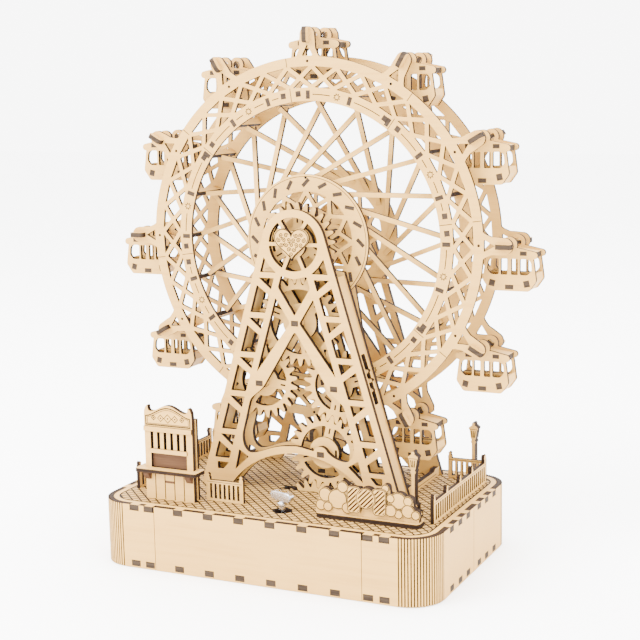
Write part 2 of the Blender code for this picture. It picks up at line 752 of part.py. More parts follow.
def shoulder_hole():
    """Return the opening beside the head ring, above the top rung."""
    base = TOP_RUNG + RUNG_WIDTH / 2
    outer = leg_point(base, RAIL_WIDTH)
    ring = HEAD_RADIUS
    start = math.degrees(math.asin((outer[1] - HUB_Z) / ring))
    end = math.degrees(math.asin((outer[1] + STRUT_DROP - HUB_Z) / ring))
    rise = [polar(ring, start + (end - start) * share, (0, HUB_Z)) for share in HEAD_SHARES]
    tip = leg_point(base + STRUT_DROP, RAIL_WIDTH)
    return [outer, tip, *reversed(rise)]


def truss_holes():
    """Return the large openings around the cross in the middle of the tower."""
    centres = gear_centres()
    hub, left, right = centres["B"], centres["C"], centres["D"]
    width = TRUSS_WIDTH / 2
    top = leg_point(TRUSS_TOP, LADDER_WIDTH)
    high = leg_point(TOP_RUNG, LADDER_WIDTH)
    rise = HUB_Z - HEAD_RADIUS - hub[1]
    crown = [hub, top, high, (0, hub[1] + rise), (-high[0], high[1]), (-top[0], top[1])]
    upper = inset(crown, (width, 0, 0, 0, 0, width))
    low = leg_point(right[1] - DECK_TOP, LADDER_WIDTH)
    knee = leg_point(TRUSS_TOP, LADDER_WIDTH)
    side = inset([hub, low, knee], (width, 0, width))
    return [upper, side, mirrored(side)]


def yard_hole():
    """Return the large rounded opening between the truss and the arch."""
    centres = gear_centres()
    hub, right, lower = centres["B"], centres["D"], centres["E"]
    width = TRUSS_WIDTH / 2
    run = Vector((right[0] - hub[0], right[1] - hub[1])).normalized()
    drop = width / run.x
    apex = (0, hub[1] - drop)
    shoulder = (right[0] - drop * run.x, right[1] - YARD_SHOULDER_DROP)
    edge_top = leg_point(right[1] - DECK_TOP - YARD_TOP_DROP, LADDER_WIDTH)
    corner = leg_point(ARCH_CROWN + RAIL_WIDTH, LADDER_WIDTH + YARD_CORNER_INSET)
    corner_low = leg_point(ARCH_CROWN - YARD_FOOT_DROP, LADDER_WIDTH + YARD_FOOT_INSET)
    side = [apex, shoulder, edge_top, corner, corner_low]
    band = [arch_point(ARCH_BAND, share) for share in ARCH_OPEN_SHARES]
    crown = arch_point(ARCH_BAND, ARCH_MIDDLE_SHARE)
    left_side = [(-x, y) for x, y in reversed(side[1:] + band)]
    bump = [polar(AXLE_RADIUS + AXLE_TAB_HEIGHT / 2, degrees, lower) for degrees in YARD_BUMP_DEGREES]
    plain = [point for point in band if point[0] > bump[0][0]]
    return side + plain + bump + [crown] + left_side


def foot_hole():
    """Return the small opening between the right leg and the arch's band."""
    outer = leg_point(SMALL_HOLE_TOP, LADDER_WIDTH + GAP)
    low = leg_point(SMALL_HOLE_BOTTOM, LADDER_WIDTH)
    inner = arch_point(ARCH_BAND, ARCH_SIDE_SHARE)
    return [outer, low, (inner[0] + GAP, inner[1])]


def head_windows(bars, centre_radius):
    """Return the windows between the bars of the round head."""
    windows = []
    centre = (0, HUB_Z)
    for start, end in zip(bars, [*bars[1:], bars[0] + FULL_TURN]):
        outer_turn = math.degrees(math.asin(HEAD_BAR / 2 / HEAD_WINDOW))
        inner_turn = math.degrees(math.asin(HEAD_BAR / 2 / centre_radius))
        steps = 3 if end - start > 50 else 2
        rim = arc(HEAD_WINDOW, start + outer_turn, end - outer_turn, steps, centre)
        hub = arc(centre_radius, end - inner_turn, start + inner_turn, 1, centre)
        windows.append(rim + hub)
    return windows


def axle_slots():
    """Return the holes that take the fixed axles' tabs."""
    centres = gear_centres()
    slack = 2 * GAP
    return [centred_rectangle(AXLE_TAB_WIDTH + slack, AXLE_TAB_HEIGHT + slack, centres[letter])
            for letter in ("B", "C", "D", "E")]


def tower_holes(braced=True):
    """Return the openings that all three tower plates share."""
    ladder = ladder_holes(braced) + [foot_hole()]
    return ladder + [mirrored(hole) for hole in ladder] + truss_holes() + [yard_hole()]


def make_tower(wood):
    """Make the tower's two gear plates, its side boards and the rear tower."""
    bore = circle(AXLE_RADIUS + GAP, 10, (0, HUB_Z))
    shoulders = [shoulder_hole(), mirrored(shoulder_hole())]
    front = tower_holes() + axle_slots() + shoulders + head_windows(HEAD_BAR_DEGREES, HEAD_CENTRE) + [bore]
    near = TOWER_FRONT
    plate("tower_front_plate", tower_outline(HEAD_RADIUS), front, near, near + PLY, wood)
    inner = tower_holes(False) + axle_slots() + [bore]
    near = INNER_TOWER_FRONT
    plate("tower_inner_plate", tower_outline(SMALL_HEAD), inner, near, near + PLY, wood)
    rear = tower_holes() + shoulders + [bore]
    near = REAR_TOWER_FRONT
    plate("tower_rear_plate", tower_outline(HEAD_RADIUS), rear, near, near + PLY, wood)
    make_side_board("tower_side_right", 1, "D", TEETH_D, wood)
    make_side_board("tower_side_left", -1, "C", TEETH_C, wood)


def make_side_board(name, sign, letter, teeth, wood):
    """Make the board along a leg, slotted for the gear that reaches through it."""
    slope = leg_slope()
    lean = math.atan(slope)
    gear = gear_centres()[letter]
    start = leg_point(SIDE_BOARD_BOTTOM, SIDE_BOARD_INSET)
    up = Vector((-math.sin(lean), math.cos(lean)))
    out = Vector((math.cos(lean), math.sin(lean)))
    length = (SIDE_BOARD_TOP - SIDE_BOARD_BOTTOM) / math.cos(lean)
    centre = Vector((abs(gear[0]), gear[1])) - Vector(start)
    along = centre.dot(up)
    away = -centre.dot(out) - PLY
    reach = gear_radius(teeth) + TOOTH_ADDENDUM + GEAR_CLEARANCE
    half = math.sqrt(reach ** 2 - away ** 2)
    near = TOWER_FRONT + PLY + GAP
    far = INNER_TOWER_FRONT - GAP
    slot_near = GEAR_FRONT - GEAR_CLEARANCE
    slot_far = GEAR_FRONT + GEAR_THICKNESS + GEAR_CLEARANCE
    slot = rectangle(along - half, slot_near, along + half, slot_far)
    plane = Matrix(((sign * up.x, 0, sign * out.x), (0, 1, 0), (up.y, 0, out.y)))
    body = Solid(plane)
    body.plate(rectangle(0, near, length, far), [slot], -PLY, 0)
    shift = Vector((sign * start[0], 0, start[1]))
    bmesh.ops.translate(body.mesh, verts=body.mesh.verts[:], vec=shift)
    body.finish(name, wood)


def make_foot_rails(wood):
    """Make the planks that tie the front tower's feet to the rear ones."""
    near = INNER_TOWER_FRONT + PLY + GAP
    far = REAR_TOWER_FRONT - GAP
    for name, sign in (("foot_rail_right", 1), ("foot_rail_left", -1)):
        middle = sign * FOOT_RAIL_OFFSET
        outline = rectangle(middle - PLY / 2, DECK_TOP, middle + PLY / 2, DECK_TOP + FOOT_RAIL_HEIGHT)
        plate(name, outline, [], near, far, wood)


def heart_loop():
    """Return a heart about the wheel's axle."""
    loop = []
    for step in range(HEART_STEPS):
        turn = 2 * math.pi * step / HEART_STEPS
        across_share = math.sin(turn) ** 3
        waves = [share * math.cos((order + 1) * turn) for order, share in enumerate(HEART_WAVE_SHARES)]
        up_share = sum(waves) + HEART_LIFT_SHARE
        loop.append((across_share * HEART_WIDTH / 2, HUB_Z + up_share * HEART_HEIGHT))
    return loop


def make_heart(wood):
    """Make the heart in front of the axle's end."""
    far = TOWER_FRONT - GAP
    plate("heart_plaque", heart_loop(), [], far - HEART_THICKNESS, far, wood)


# Wheel

def lattice_holes():
    """Return the openings of the crossed strips between the rim's two bands."""
    step = FULL_TURN / LATTICE_CELLS
    low = RIM_INNER + RIM_INNER_BAND
    high = RIM_OUTER - RIM_OUTER_BAND
    half = LATTICE_STRIP / 2
    holes = []
    for index in range(LATTICE_CELLS):
        start = LATTICE_START + index * step
        corners = (polar(low, start), polar(low, start + step), polar(high, start + step), polar(high, start))
        cross = crossing((Vector(corners[0]), Vector(corners[2]) - Vector(corners[0])),
                         (Vector(corners[1]), Vector(corners[3]) - Vector(corners[1])))
        holes.append(inset([corners[0], corners[1], cross], (0, half, half)))
        holes.append(inset([corners[2], corners[3], cross], (0, half, half)))
        after = start + step
        far_low = polar(low, after + step)
        far_high = polar(high, after + step)
        next_cross = crossing((Vector(corners[1]), Vector(far_high) - Vector(corners[1])),
                              (Vector(far_low), Vector(corners[2]) - Vector(far_low)))
        diamond = [corners[1], next_cross, corners[2], cross]
        holes.append(inset(diamond, (half, half, half, half)))
    return holes


def bracket_angles():
    """Return the angles of the gondolas around the wheel."""
    return [index * FULL_TURN / GONDOLA_COUNT for index in range(GONDOLA_COUNT)]


def turned(point, degrees):
    """Return a point given as radius and sideways distance, turned about the axle."""
    turn = math.radians(degrees)
    outwards, sideways = point
    return (outwards * math.cos(turn) - sideways * math.sin(turn),
            outwards * math.sin(turn) + sideways * math.cos(turn))


def rim_outline():
    """Return the rim's outer edge with a bracket at each gondola."""
    foot = BRACKET_FOOT / 2
    base = math.sqrt(RIM_OUTER ** 2 - foot ** 2)
    foot_turn = math.degrees(math.asin(foot / RIM_OUTER))
    head = [polar(BRACKET_HEAD, degrees, (PIVOT_RADIUS, 0)) for degrees in BRACKET_HEAD_DEGREES]
    neck = BRACKET_WAIST - BRACKET_HEAD / 2
    waist = BRACKET_WAIST_WIDTH / 2
    side = [(base, -foot), (neck, -waist), *head, (neck, waist), (base, foot)]
    step = FULL_TURN / GONDOLA_COUNT
    loop = []
    for degrees in bracket_angles():
        loop += [turned(point, degrees) for point in side]
        loop += arc(RIM_OUTER, degrees + foot_turn, degrees + step - foot_turn, 3)[1:-1]
    return loop


def bracket_windows():
    """Return the triangular opening between each bracket's legs."""
    half = BRACKET_WINDOW / 2
    base = RIM_OUTER + GAP
    window = [(base, -half), (BRACKET_WAIST, 0), (base, half)]
    return [[turned(point, degrees) for point in window] for degrees in bracket_angles()]


def raised(loop):
    """Move a loop about the axle up to the wheel's height."""
    return [(x, y + HUB_Z) for x, y in loop]


def tie_loops():
    """Return the sections of the ties that join the two rims."""
    low = TIE_RADIUS - TIE_HEIGHT / 2
    half = TIE_WIDTH / 2
    section = [(low, -half), (low + TIE_HEIGHT, -half), (low + TIE_HEIGHT, half), (low, half)]
    step = FULL_TURN / SPOKE_COUNT
    return [raised([turned(point, index * step) for point in section]) for index in range(SPOKE_COUNT)]


def make_rims(wood):
    """Make the two rims; the ties between them belong to the front one."""
    outer = raised(rim_outline())
    inner = raised(circle(RIM_INNER, LATTICE_CELLS, (0, 0), LATTICE_START))
    holes = [inner] + [raised(hole) for hole in lattice_holes() + bracket_windows()]
    half = THIN_PLY / 2
    origin = (0, RIM_FRONT_Y, HUB_Z)
    body = Solid()
    for loop in (outer, *holes):
        body.wall(loop, RIM_FRONT_Y - half, RIM_FRONT_Y + half)
    body.cap(RIM_FRONT_Y - half, outer, holes)
    ties = tie_loops()
    body.cap(RIM_FRONT_Y + half, outer, holes + ties)
    end = RIM_REAR_Y - half - GAP
    for tie in ties:
        body.wall(tie, RIM_FRONT_Y + half, end)
        body.cap(end, tie)
    body.finish("rim_front", wood, origin)
    near = RIM_REAR_Y - half
    plate("rim_rear", outer, holes, near, near + THIN_PLY, wood, STANDING, (0, RIM_REAR_Y, HUB_Z))


def hub_holes():
    """Return the openings of the hub's crossed arches."""
    step = FULL_TURN / HUB_PETALS
    half = HUB_STRIP / 2
    holes = []
    for index in range(HUB_PETALS):
        start = 90 + index * step
        apex = polar(HUB_RING_INNER, start)
        following = polar(HUB_RING_INNER, start + step)
        ring = polar(HUB_RING_INNER, start + step / 2)
        before = polar(HUB_CROSSING, start - step / 2)
        after = polar(HUB_CROSSING, start + step / 2)
        boss = polar(HUB_BOSS + HUB_STRIP, start)
        holes.append(inset([following, after, apex, ring], (half, half, 0, 0)))
        holes.append(inset([apex, after, boss, before], (half, half, half, half)))
    return holes


def spoke_ends(angle, way, face, reach):
    """Return a spoke's corners on the hub's disc, its corners at the rim's tie and their depths."""
    outward = 1 if reach > face else -1
    tie_radius = TIE_RADIUS - TIE_HEIGHT / 2 - SPOKE_END_GAP
    seat = Vector(turned((SPOKE_SEAT, 0), angle))
    tie = Vector(turned((tie_radius, 0), angle - way * SPOKE_SWEEP))
    span, rise = (tie - seat).length, abs(reach - face)
    stick = math.hypot(span, rise)
    run = (tie - seat) / span
    across = Vector((-run.y, run.x)) * (SPOKE_WIDTH / 2)
    slant = run * (THIN_PLY / 2 * stick / rise)
    back = run * (THIN_PLY * rise / stick)
    lift = outward * THIN_PLY / 2 * span / stick
    foot = [seat + across - slant, seat + across + slant, seat - across + slant, seat - across - slant]
    tip = [tie + across - back, tie + across, tie - across, tie - across - back]
    depths = (reach + lift, reach - lift, reach - lift, reach + lift)
    return raised([tuple(point) for point in foot]), raised([tuple(point) for point in tip]), depths


def make_hub(name, depth, way, wood):
    """Make one hub disc with its spokes, which run across to the far half of the rim's ties."""
    outward = 1 if depth < WHEEL_MIDDLE else -1
    face = depth + outward * THIN_PLY / 2
    back = depth - outward * THIN_PLY / 2
    reach = WHEEL_MIDDLE + outward * SPOKE_OVERSHOOT
    outer = raised(circle(HUB_RING_OUTER, 36))
    holes = [raised(hole) for hole in hub_holes()]
    holes.append(raised(circle(AXLE_RADIUS + GAP, 8)))
    body = Solid()
    for loop in (outer, *holes):
        body.wall(loop, back, face)
    body.cap(back, outer, holes)
    feet = []
    step = FULL_TURN / SPOKE_COUNT
    for index in range(SPOKE_COUNT):
        foot, tip, depths = spoke_ends(index * step, way, face, reach)
        feet.append(foot)
        tops = [body.vertex(point, place) for point, place in zip(tip, depths)]
        bottoms = [body.vertex(point, face) for point in foot]
        for first in range(4):
            second = (first + 1) % 4
            body.mesh.faces.new([bottoms[first], bottoms[second], tops[second]])
            body.mesh.faces.new([bottoms[first], tops[second], tops[first]])
        body.mesh.faces.new([tops[0], tops[1], tops[2]])
        body.mesh.faces.new([tops[0], tops[2], tops[3]])
    body.cap(face, outer, holes + feet)
    body.finish(name, wood, (0, depth, HUB_Z))


def make_axle(wood):
    """Make the wheel's axle, from the front plate to the rear tower."""
    near = TOWER_FRONT + GAP
    far = REAR_TOWER_FRONT + PLY - GAP
    section = circle(AXLE_RADIUS, 12, (0, HUB_Z))
    plate("wheel_axle", section, [], near, far, wood, STANDING, (0, WHEEL_MIDDLE, HUB_Z))


# Gondolas

def gondola_outline():
    """Return a gondola's side plate about its pivot: ear, roof, body and foot."""
    ear = math.degrees(math.asin(ROOF_TOP / EAR_RADIUS))
    top = arc(EAR_RADIUS, -ear, HALF_TURN + ear, 3)
    eave = [(ROOF_HALF - ROOF_DEPTH * inwards, -ROOF_TOP - ROOF_DEPTH * drop)
            for inwards, drop in ROOF_EDGE_SHARES]
    right = [(BODY_FOOT_HALF, -BODY_DROP), (BODY_WAIST_HALF, -BODY_WAIST_DROP),
             (BODY_TOP_HALF, -ROOF_TOP - ROOF_DEPTH), *eave]
    left = [(-x, y) for x, y in reversed(right)]
    return right + top + left


def gondola_windows():
    """Return a side plate's two windows."""
    window = rectangle(WINDOW_INNER, -WINDOW_BOTTOM, WINDOW_OUTER, -WINDOW_TOP)
    return [window, mirrored(window)]


def tub_side(inwards):
    """Return one side of the tub's section, from its foot to its rim."""
    edge = TUB_MARGIN + inwards
    across, up = [edge * share for share in TUB_SLANT_SHARES]
    waist = (BODY_WAIST_HALF - edge, -BODY_WAIST_DROP + up)
    eave = (BODY_TOP_HALF - edge, -ROOF_TOP - ROOF_DEPTH)
    return [(BODY_FOOT_HALF - across, -BODY_DROP + edge), waist, between(eave, waist, TUB_RIM_SHARE)]


def tub_loop():
    """Return the section of the tub that closes the lower half between the side plates."""
    outer, inner = tub_side(0), tub_side(TUB_WALL)
    right = outer + inner[::-1]
    return right + [(-x, y) for x, y in reversed(right)]


def roof_loop():
    """Return the section of the roof's slab."""
    half = BODY_TOP_HALF - TUB_MARGIN
    low = -ROOF_TOP - ROOF_DEPTH
    return rectangle(-half, low, half, low + ROOF_SLAB)


def make_gondola(index, degrees, wood):
    """Make one gondola, hanging upright from its pin."""
    pivot = turned((PIVOT_RADIUS, 0), degrees)
    place = (pivot[0], WHEEL_MIDDLE, pivot[1] + HUB_Z)
    outer = gondola_outline()
    windows = gondola_windows()
    pin = circle(GONDOLA_PIN, 4, (0, 0), 45)
    links = [roof_loop(), tub_loop(), pin]
    half = GONDOLA_DEPTH / 2
    pin_end = RIM_SPACING / 2 - THIN_PLY / 2 - GAP
    body = Solid()
    for sign in (-1, 1):
        face, back = sign * half, sign * (half - THIN_PLY)
        for loop in (outer, *windows):
            body.wall(loop, face, back)
        body.cap(face, outer, windows + [pin])
        body.cap(back, outer, windows + links)
        body.wall(pin, face, sign * pin_end)
        body.cap(sign * pin_end, pin)
    inner = half - THIN_PLY
    for loop in links:
        body.wall(loop, -inner, inner)
    bmesh.ops.translate(body.mesh, verts=body.mesh.verts[:], vec=Vector(place))
    body.finish(f"gondola_{index + 1:02d}", wood, place)


# Music movement

def bedplate_under():
    """Return the height of the bedplate's underside."""
    return DECK_UNDER - GAP - BEDPLATE_THICKNESS


def make_movement(steel, brass):
    """Make the wind-up movement that hangs under the deck."""
    drum_x = gear_centres()["F"][0]
    drum_z = gear_centres()["F"][1]
    top = bedplate_under()
    middle = drum_x + COMB_BODY / 4
    half = BEDPLATE_WIDTH / 2
    outline = rectangle(middle - half, -BEDPLATE_FRONT, middle + half, -BEDPLATE_BACK)
    hole = circle(ARBOR_RADIUS + GAP, 8, (KEY_X, KEY_Y))
    plate("movement_bedplate", outline, [hole], top, top + BEDPLATE_THICKNESS, steel, LYING)
    high = top - GAP
    barrel = circle(BARREL_RADIUS, 20, (KEY_X, KEY_Y))
    plate("spring_housing", barrel, [hole], high - BARREL_HEIGHT, high, brass, LYING)
    make_arbor(high - BARREL_HEIGHT, steel)
    make_cylinder((drum_x, drum_z), brass)
    make_comb((drum_x, drum_z), high, steel)
    make_governor(drum_x, high, steel, brass)


def make_arbor(low, steel):
    """Make the winding arbor, from the spring housing up to the key."""
    section = circle(ARBOR_RADIUS, 8, (KEY_X, KEY_Y))
    top = DECK_TOP + ARBOR_HEAD
    plate("winding_arbor", section, [], low, top, steel, LYING, (KEY_X, KEY_Y, top))
    make_key(top + GAP, steel)


def make_key(low, steel):
    """Make the butterfly key: a short stem under two rounded wings."""
    stem = circle(KEY_STEM, 8, (KEY_X, KEY_Y), 22.5)
    high = low + KEY_STEM
    body = Solid(LYING)
    body.plate(stem, [], low, high)
    key = body.finish("winding_key", steel, (KEY_X, KEY_Y, low))
    half, rise = KEY_WIDTH / 2, KEY_HEIGHT / 2
    centre = high + rise * KEY_LIFT_SHARE
    wing = [(half * across, rise * up) for across, up in KEY_WING_SHARES]
    loop = wing + [(-x, y) for x, y in reversed(wing[:-1])]
    loop = [(KEY_X + x, centre + y) for x, y in loop]
    wings = Solid()
    thick = KEY_THICKNESS / 2
    wings.plate(loop, [], KEY_Y - thick, KEY_Y + thick)
    fuse(key, [wings.finish("key_wings", steel)])


def make_cylinder(centre, brass):
    """Make the pinned cylinder and its shaft, which carries the lowest gear."""
    drum = circle(DRUM_RADIUS, 16, centre)
    shaft = circle(DRUM_SHAFT, 8, centre)
    seat = circle(AXLE_RADIUS, 8, centre)
    start = GEAR_FRONT - GAP
    end = GEAR_FRONT + GEAR_THICKNESS + GAP
    body = Solid()
    body.cap(-DRUM_FRONT, drum)
    body.wall(drum, -DRUM_FRONT, -DRUM_BACK)
    body.cap(-DRUM_BACK, drum, [shaft])
    body.wall(shaft, -DRUM_BACK, start)
    body.cap(start, seat, [shaft])
    body.wall(seat, start, end)
    body.cap(end, seat)
    body.finish("tune_cylinder", brass, (centre[0], GEAR_FRONT, centre[1]))


def make_comb(centre, high, steel):
    """Make the steel comb with its block, tuned teeth towards the cylinder."""
    near = centre[0] + DRUM_RADIUS + GAP
    far = near + COMB_REACH
    root = far - COMB_BODY
    width = DRUM_FRONT - DRUM_BACK
    pitch = width / (2 * COMB_TEETH - 1)
    teeth = []
    for index in range(COMB_TEETH):
        start = -DRUM_BACK - 2 * index * pitch
        teeth += [(near, start), (near, start - pitch)]
        if index < COMB_TEETH - 1:
            teeth += [(root, start - pitch), (root, start - 2 * pitch)]
    outline = teeth + [(far, -DRUM_FRONT), (far, -DRUM_BACK)]
    low = centre[1]
    block = rectangle(root + BEDPLATE_THICKNESS, -DRUM_FRONT + GAP, far - GAP, -DRUM_BACK - GAP)
    body = Solid(LYING)
    body.wall(outline, low, low + COMB_THICKNESS)
    body.cap(low, outline)
    body.cap(low + COMB_THICKNESS, outline, [block])
    body.wall(block, low + COMB_THICKNESS, high)
    body.cap(high, block)
    body.finish("tone_comb", steel)


def make_governor(drum_x, high, steel, brass):
    """Make the governor's bracket and the fan that turns in it."""
    right = drum_x - DRUM_RADIUS - PLY
    left = right - GOVERNOR_REACH
    low = high - GOVERNOR_HEIGHT
    wall = GOVERNOR_WALL
    outline = [(left, low), (right, low), (right, low + wall), (left + wall, low + wall),
               (left + wall, high - wall), (right, high - wall), (right, high), (left, high)]
    near, far = -DRUM_FRONT, -DRUM_BACK - DRUM_RADIUS
    plate("governor_frame", outline, [], near, far, steel)
    centre = ((left + wall + right) / 2, (near + far) / 2)
    blade = FAN_BLADE / 2
    boss = FAN_BLADE * 3 / 2
    upper = [(FAN_RADIUS, blade), (FAN_BLADE, blade), (0, boss), (-FAN_BLADE, blade), (-FAN_RADIUS, blade)]
    section = upper + [(-x, -y) for x, y in upper]
    loop = [(centre[0] + x, centre[1] + y) for x, y in section]
    bottom = low + wall + GAP
    plate("governor_fan", loop, [], bottom, high - wall - GAP, brass, LYING, (*centre, bottom))


# Deck furniture

def fence_shape(length, gaps):
    """Return a fence's outline and the openings between its balusters."""
    post, top = FENCE_POST, FENCE_HEIGHT
    knob = FINIAL / 2
    start = [(0, 0), (length, 0)]
    right = [(length, top), (length - post / 2 + knob, top + knob), (length - post / 2, top + FINIAL),
             (length - post / 2 - knob, top + knob), (length - post, top), (length - post, top - FENCE_RAIL)]
    left = [(length - x, y) for x, y in reversed(right)]
    outline = start + right + left
    span = length - 2 * post
    pitch = (span + BALUSTER) / gaps
    low, high = FENCE_BASE, top - 2 * FENCE_RAIL
    holes = [rectangle(post + index * pitch, low, post + (index + 1) * pitch - BALUSTER, high)
             for index in range(gaps)]
    return outline, holes


def placed(loop, along, up):
    """Move a loop in its drawing."""
    return [(x + along, y + up) for x, y in loop]


def make_fence(name, start, length, depth, gaps, plane, wood):
    """Make one standing fence."""
    outline, holes = fence_shape(length, gaps)
    outline = placed(outline, start, DECK_TOP)
    holes = [placed(hole, start, DECK_TOP) for hole in holes]
    plate(name, outline, holes, depth - FENCE_THICKNESS / 2, depth + FENCE_THICKNESS / 2, wood, plane)


def make_fences(wood):
    """Make the fences on the deck's two sides, their returns and the one by the booth."""
    length = SIDE_FENCE_BACK - SIDE_FENCE_FRONT
    inner = SIDE_FENCE_OFFSET - RETURN_FENCE_LENGTH
    back = RETURN_FENCE_PLACE
    for side, sign in (("right", 1), ("left", -1)):
        place = sign * SIDE_FENCE_OFFSET
        make_fence(f"fence_{side}", SIDE_FENCE_FRONT, length, place, SIDE_FENCE_GAPS, SIDEWAYS, wood)
        start = inner if sign > 0 else -SIDE_FENCE_OFFSET
        make_fence(f"fence_{side}_rear", start, RETURN_FENCE_LENGTH, back, RETURN_FENCE_GAPS, STANDING, wood)
    make_fence("fence_small", SMALL_FENCE_LEFT, SMALL_FENCE_LENGTH, SMALL_FENCE_PLACE, SMALL_FENCE_GAPS,
               STANDING, wood)


def make_booth(wood):
    """Make the ticket booth: a fretted front, a counter, planks and plain sides."""
    left, right = BOOTH_LEFT, BOOTH_LEFT + BOOTH_WIDTH
    middle = (left + right) / 2
    horn, half = BOOTH_HORN_WIDTH, BOOTH_WIDTH / 2
    rise = BOOTH_TOP - BOOTH_SHOULDER
    curve = [(half * across, BOOTH_SHOULDER + rise * up) for across, up in BOOTH_CURVE_SHARES]
    crown = [(half, BOOTH_HORN), (half - horn, BOOTH_SHOULDER), *curve]
    top = crown + [(0, BOOTH_TOP)] + [(-x, y) for x, y in reversed(crown)]
    outline = [(left, 0), (right, 0)] + [(middle + x, y) for x, y in top]
    outline = placed(outline, 0, DECK_TOP)
    inner_left, inner_right = left + BOOTH_POST, right - BOOTH_POST
    pitch = (inner_right - inner_left + BOOTH_BAR_WIDTH) / (BOOTH_BARS + 1)
    low, high = DECK_TOP + BOOTH_SHELF_TOP, DECK_TOP + BOOTH_WINDOW_TOP
    gap = pitch - BOOTH_BAR_WIDTH
    starts = [inner_left + index * pitch for index in range(BOOTH_BARS + 1)]
    holes = [rectangle(start, low, start + gap, high) for start in starts]
    counter_top = DECK_TOP + BOOTH_COUNTER_TOP
    holes.append(rectangle(inner_left, counter_top - PLY / 2, inner_right, low - BOOTH_SHELF))
    body = Solid()
    body.plate(outline, holes, BOOTH_FRONT, BOOTH_FRONT + PLY)
    booth = body.finish("ticket_booth", wood)
    counter = make_counter(left, right, counter_top, wood)
    fuse(booth, [counter, make_booth_walls(left, right, wood)], "MANIFOLD")


def make_counter(left, right, top, wood):
    """Make the booth's counter, which passes through its front."""
    reach = (BOOTH_COUNTER_WIDTH - BOOTH_WIDTH) / 2
    near, far = BOOTH_FRONT - BOOTH_COUNTER_REACH, BOOTH_FRONT + PLY * 2
    body = Solid(LYING)
    body.plate(rectangle(left - reach, near, right + reach, far), [], top - PLY, top)
    return body.finish("booth_counter", wood)


def make_booth_walls(left, right, wood):
    """Make the booth's sides and back as one bent wall."""
    left += BOOTH_SIDE_INSET
    right -= BOOTH_SIDE_INSET
    wall = THIN_PLY
    start, back = BOOTH_FRONT + PLY / 2, BOOTH_FRONT + BOOTH_DEPTH
    loop = [(left, start), (left + wall, start), (left + wall, back - wall), (right - wall, back - wall),
            (right - wall, start), (right, start), (right, back), (left, back)]
    body = Solid(LYING)
    body.plate(loop, [], DECK_TOP, DECK_TOP + BOOTH_SHOULDER)
    return body.finish("booth_walls", wood)


def make_lamps(wood):
    """Make the two street lamps: a foot, a post and a lantern with a window."""
    low, eave = LAMP_HEIGHT - LAMP_HEAD_HEIGHT, LAMP_EAVE_HEIGHT
    post, foot, head = LAMP_POST_WIDTH / 2, LAMP_FOOT_WIDTH / 2, LAMP_HEAD_WIDTH / 2
    bottom, under, cap, tip = [head * share for share in LAMP_HEAD_SHARES]
    side = [(foot, 0), (foot, LAMP_FOOT_HEIGHT), (post, LAMP_FOOT_HEIGHT + foot), (post, low),
            (bottom, low + post), (under, eave), (head, eave), (cap, LAMP_HEIGHT - post), (tip, LAMP_HEIGHT)]
    outline = side + [(-x, y) for x, y in reversed(side)]
    middle = (low + post + eave) / 2
    window = centred_rectangle(LAMP_WINDOW_WIDTH, LAMP_WINDOW_HEIGHT, (0, middle))
    for name, (x, y) in zip(("lamp_front", "lamp_rear"), LAMP_PLACES):
        near = y - LAMP_DEPTH / 2
        holes = [placed(window, x, DECK_TOP)]
        plate(name, placed(outline, x, DECK_TOP), holes, near, near + LAMP_DEPTH, wood)


def bush_outline():
    """Return the bush board's edge: overlapping round tops on a straight foot."""
    pitch = (SIGN_WIDTH - 2 * BUSH_RADIUS) / (BUSH_COUNT - 1)
    dip = math.degrees(math.acos(pitch / 2 / BUSH_RADIUS))
    loop = [(0, 0), (SIGN_WIDTH, 0)]
    height = SIGN_HEIGHT - BUSH_RADIUS + FINIAL
    for index in reversed(range(BUSH_COUNT)):
        centre = (BUSH_RADIUS + index * pitch, height)
        start = 0 if index == BUSH_COUNT - 1 else dip
        end = HALF_TURN if index == 0 else HALF_TURN - dip
        points = arc(BUSH_RADIUS, start, end, BUSH_STEPS - 1, centre)
        loop += points if index == BUSH_COUNT - 1 else points[1:]
    return loop


def make_sign(wood):
    """Make the board of bushes on its plank."""
    outline = placed(bush_outline(), SIGN_LEFT, DECK_TOP + PLY / 2)
    body = Solid()
    body.plate(outline, [], SIGN_PLACE - PLY / 2, SIGN_PLACE + PLY / 2)
    sign = body.finish("bush_board", wood)
    plank = Solid(LYING)
    left = SIGN_LEFT + SIGN_PLANK_SHIFT
    plank.plate(rectangle(left, SIGN_PLACE - SIGN_PLANK_DEPTH / 2, left + SIGN_WIDTH,
                          SIGN_PLACE + SIGN_PLANK_DEPTH / 2), [], DECK_TOP, DECK_TOP + PLY)
    fuse(sign, [plank.finish("bush_plank", wood)])


def make_base(wood):
    """Make the base box."""
    make_bottom(wood)
    make_deck(wood)
    make_panel("base_front_panel", True, wood)
    make_panel("base_back_panel", False, wood)
    corners = (("front_right", 1, -1), ("front_left", -1, -1), ("back_right", 1, 1), ("back_left", -1, 1))
    for place, sign_x, sign_y in corners:
        make_corner(f"base_corner_{place}", sign_x, sign_y, wood)


def make_gears(wood, axle_wood):
    """Make the gear train and the fixed axles of its middle gears."""
    train = (("gear_wheel", "A", TEETH_A), ("gear_upper", "B", TEETH_B), ("gear_left", "C", TEETH_C),
             ("gear_right", "D", TEETH_D), ("gear_lower", "E", TEETH_E), ("gear_drum", "F", TEETH_F))
    for name, letter, teeth in train:
        make_gear(name, letter, teeth, wood)
    centres = gear_centres()
    for name, letter in (("upper", "B"), ("left", "C"), ("right", "D"), ("lower", "E")):
        make_gear_axle(f"gear_axle_{name}", centres[letter], axle_wood)


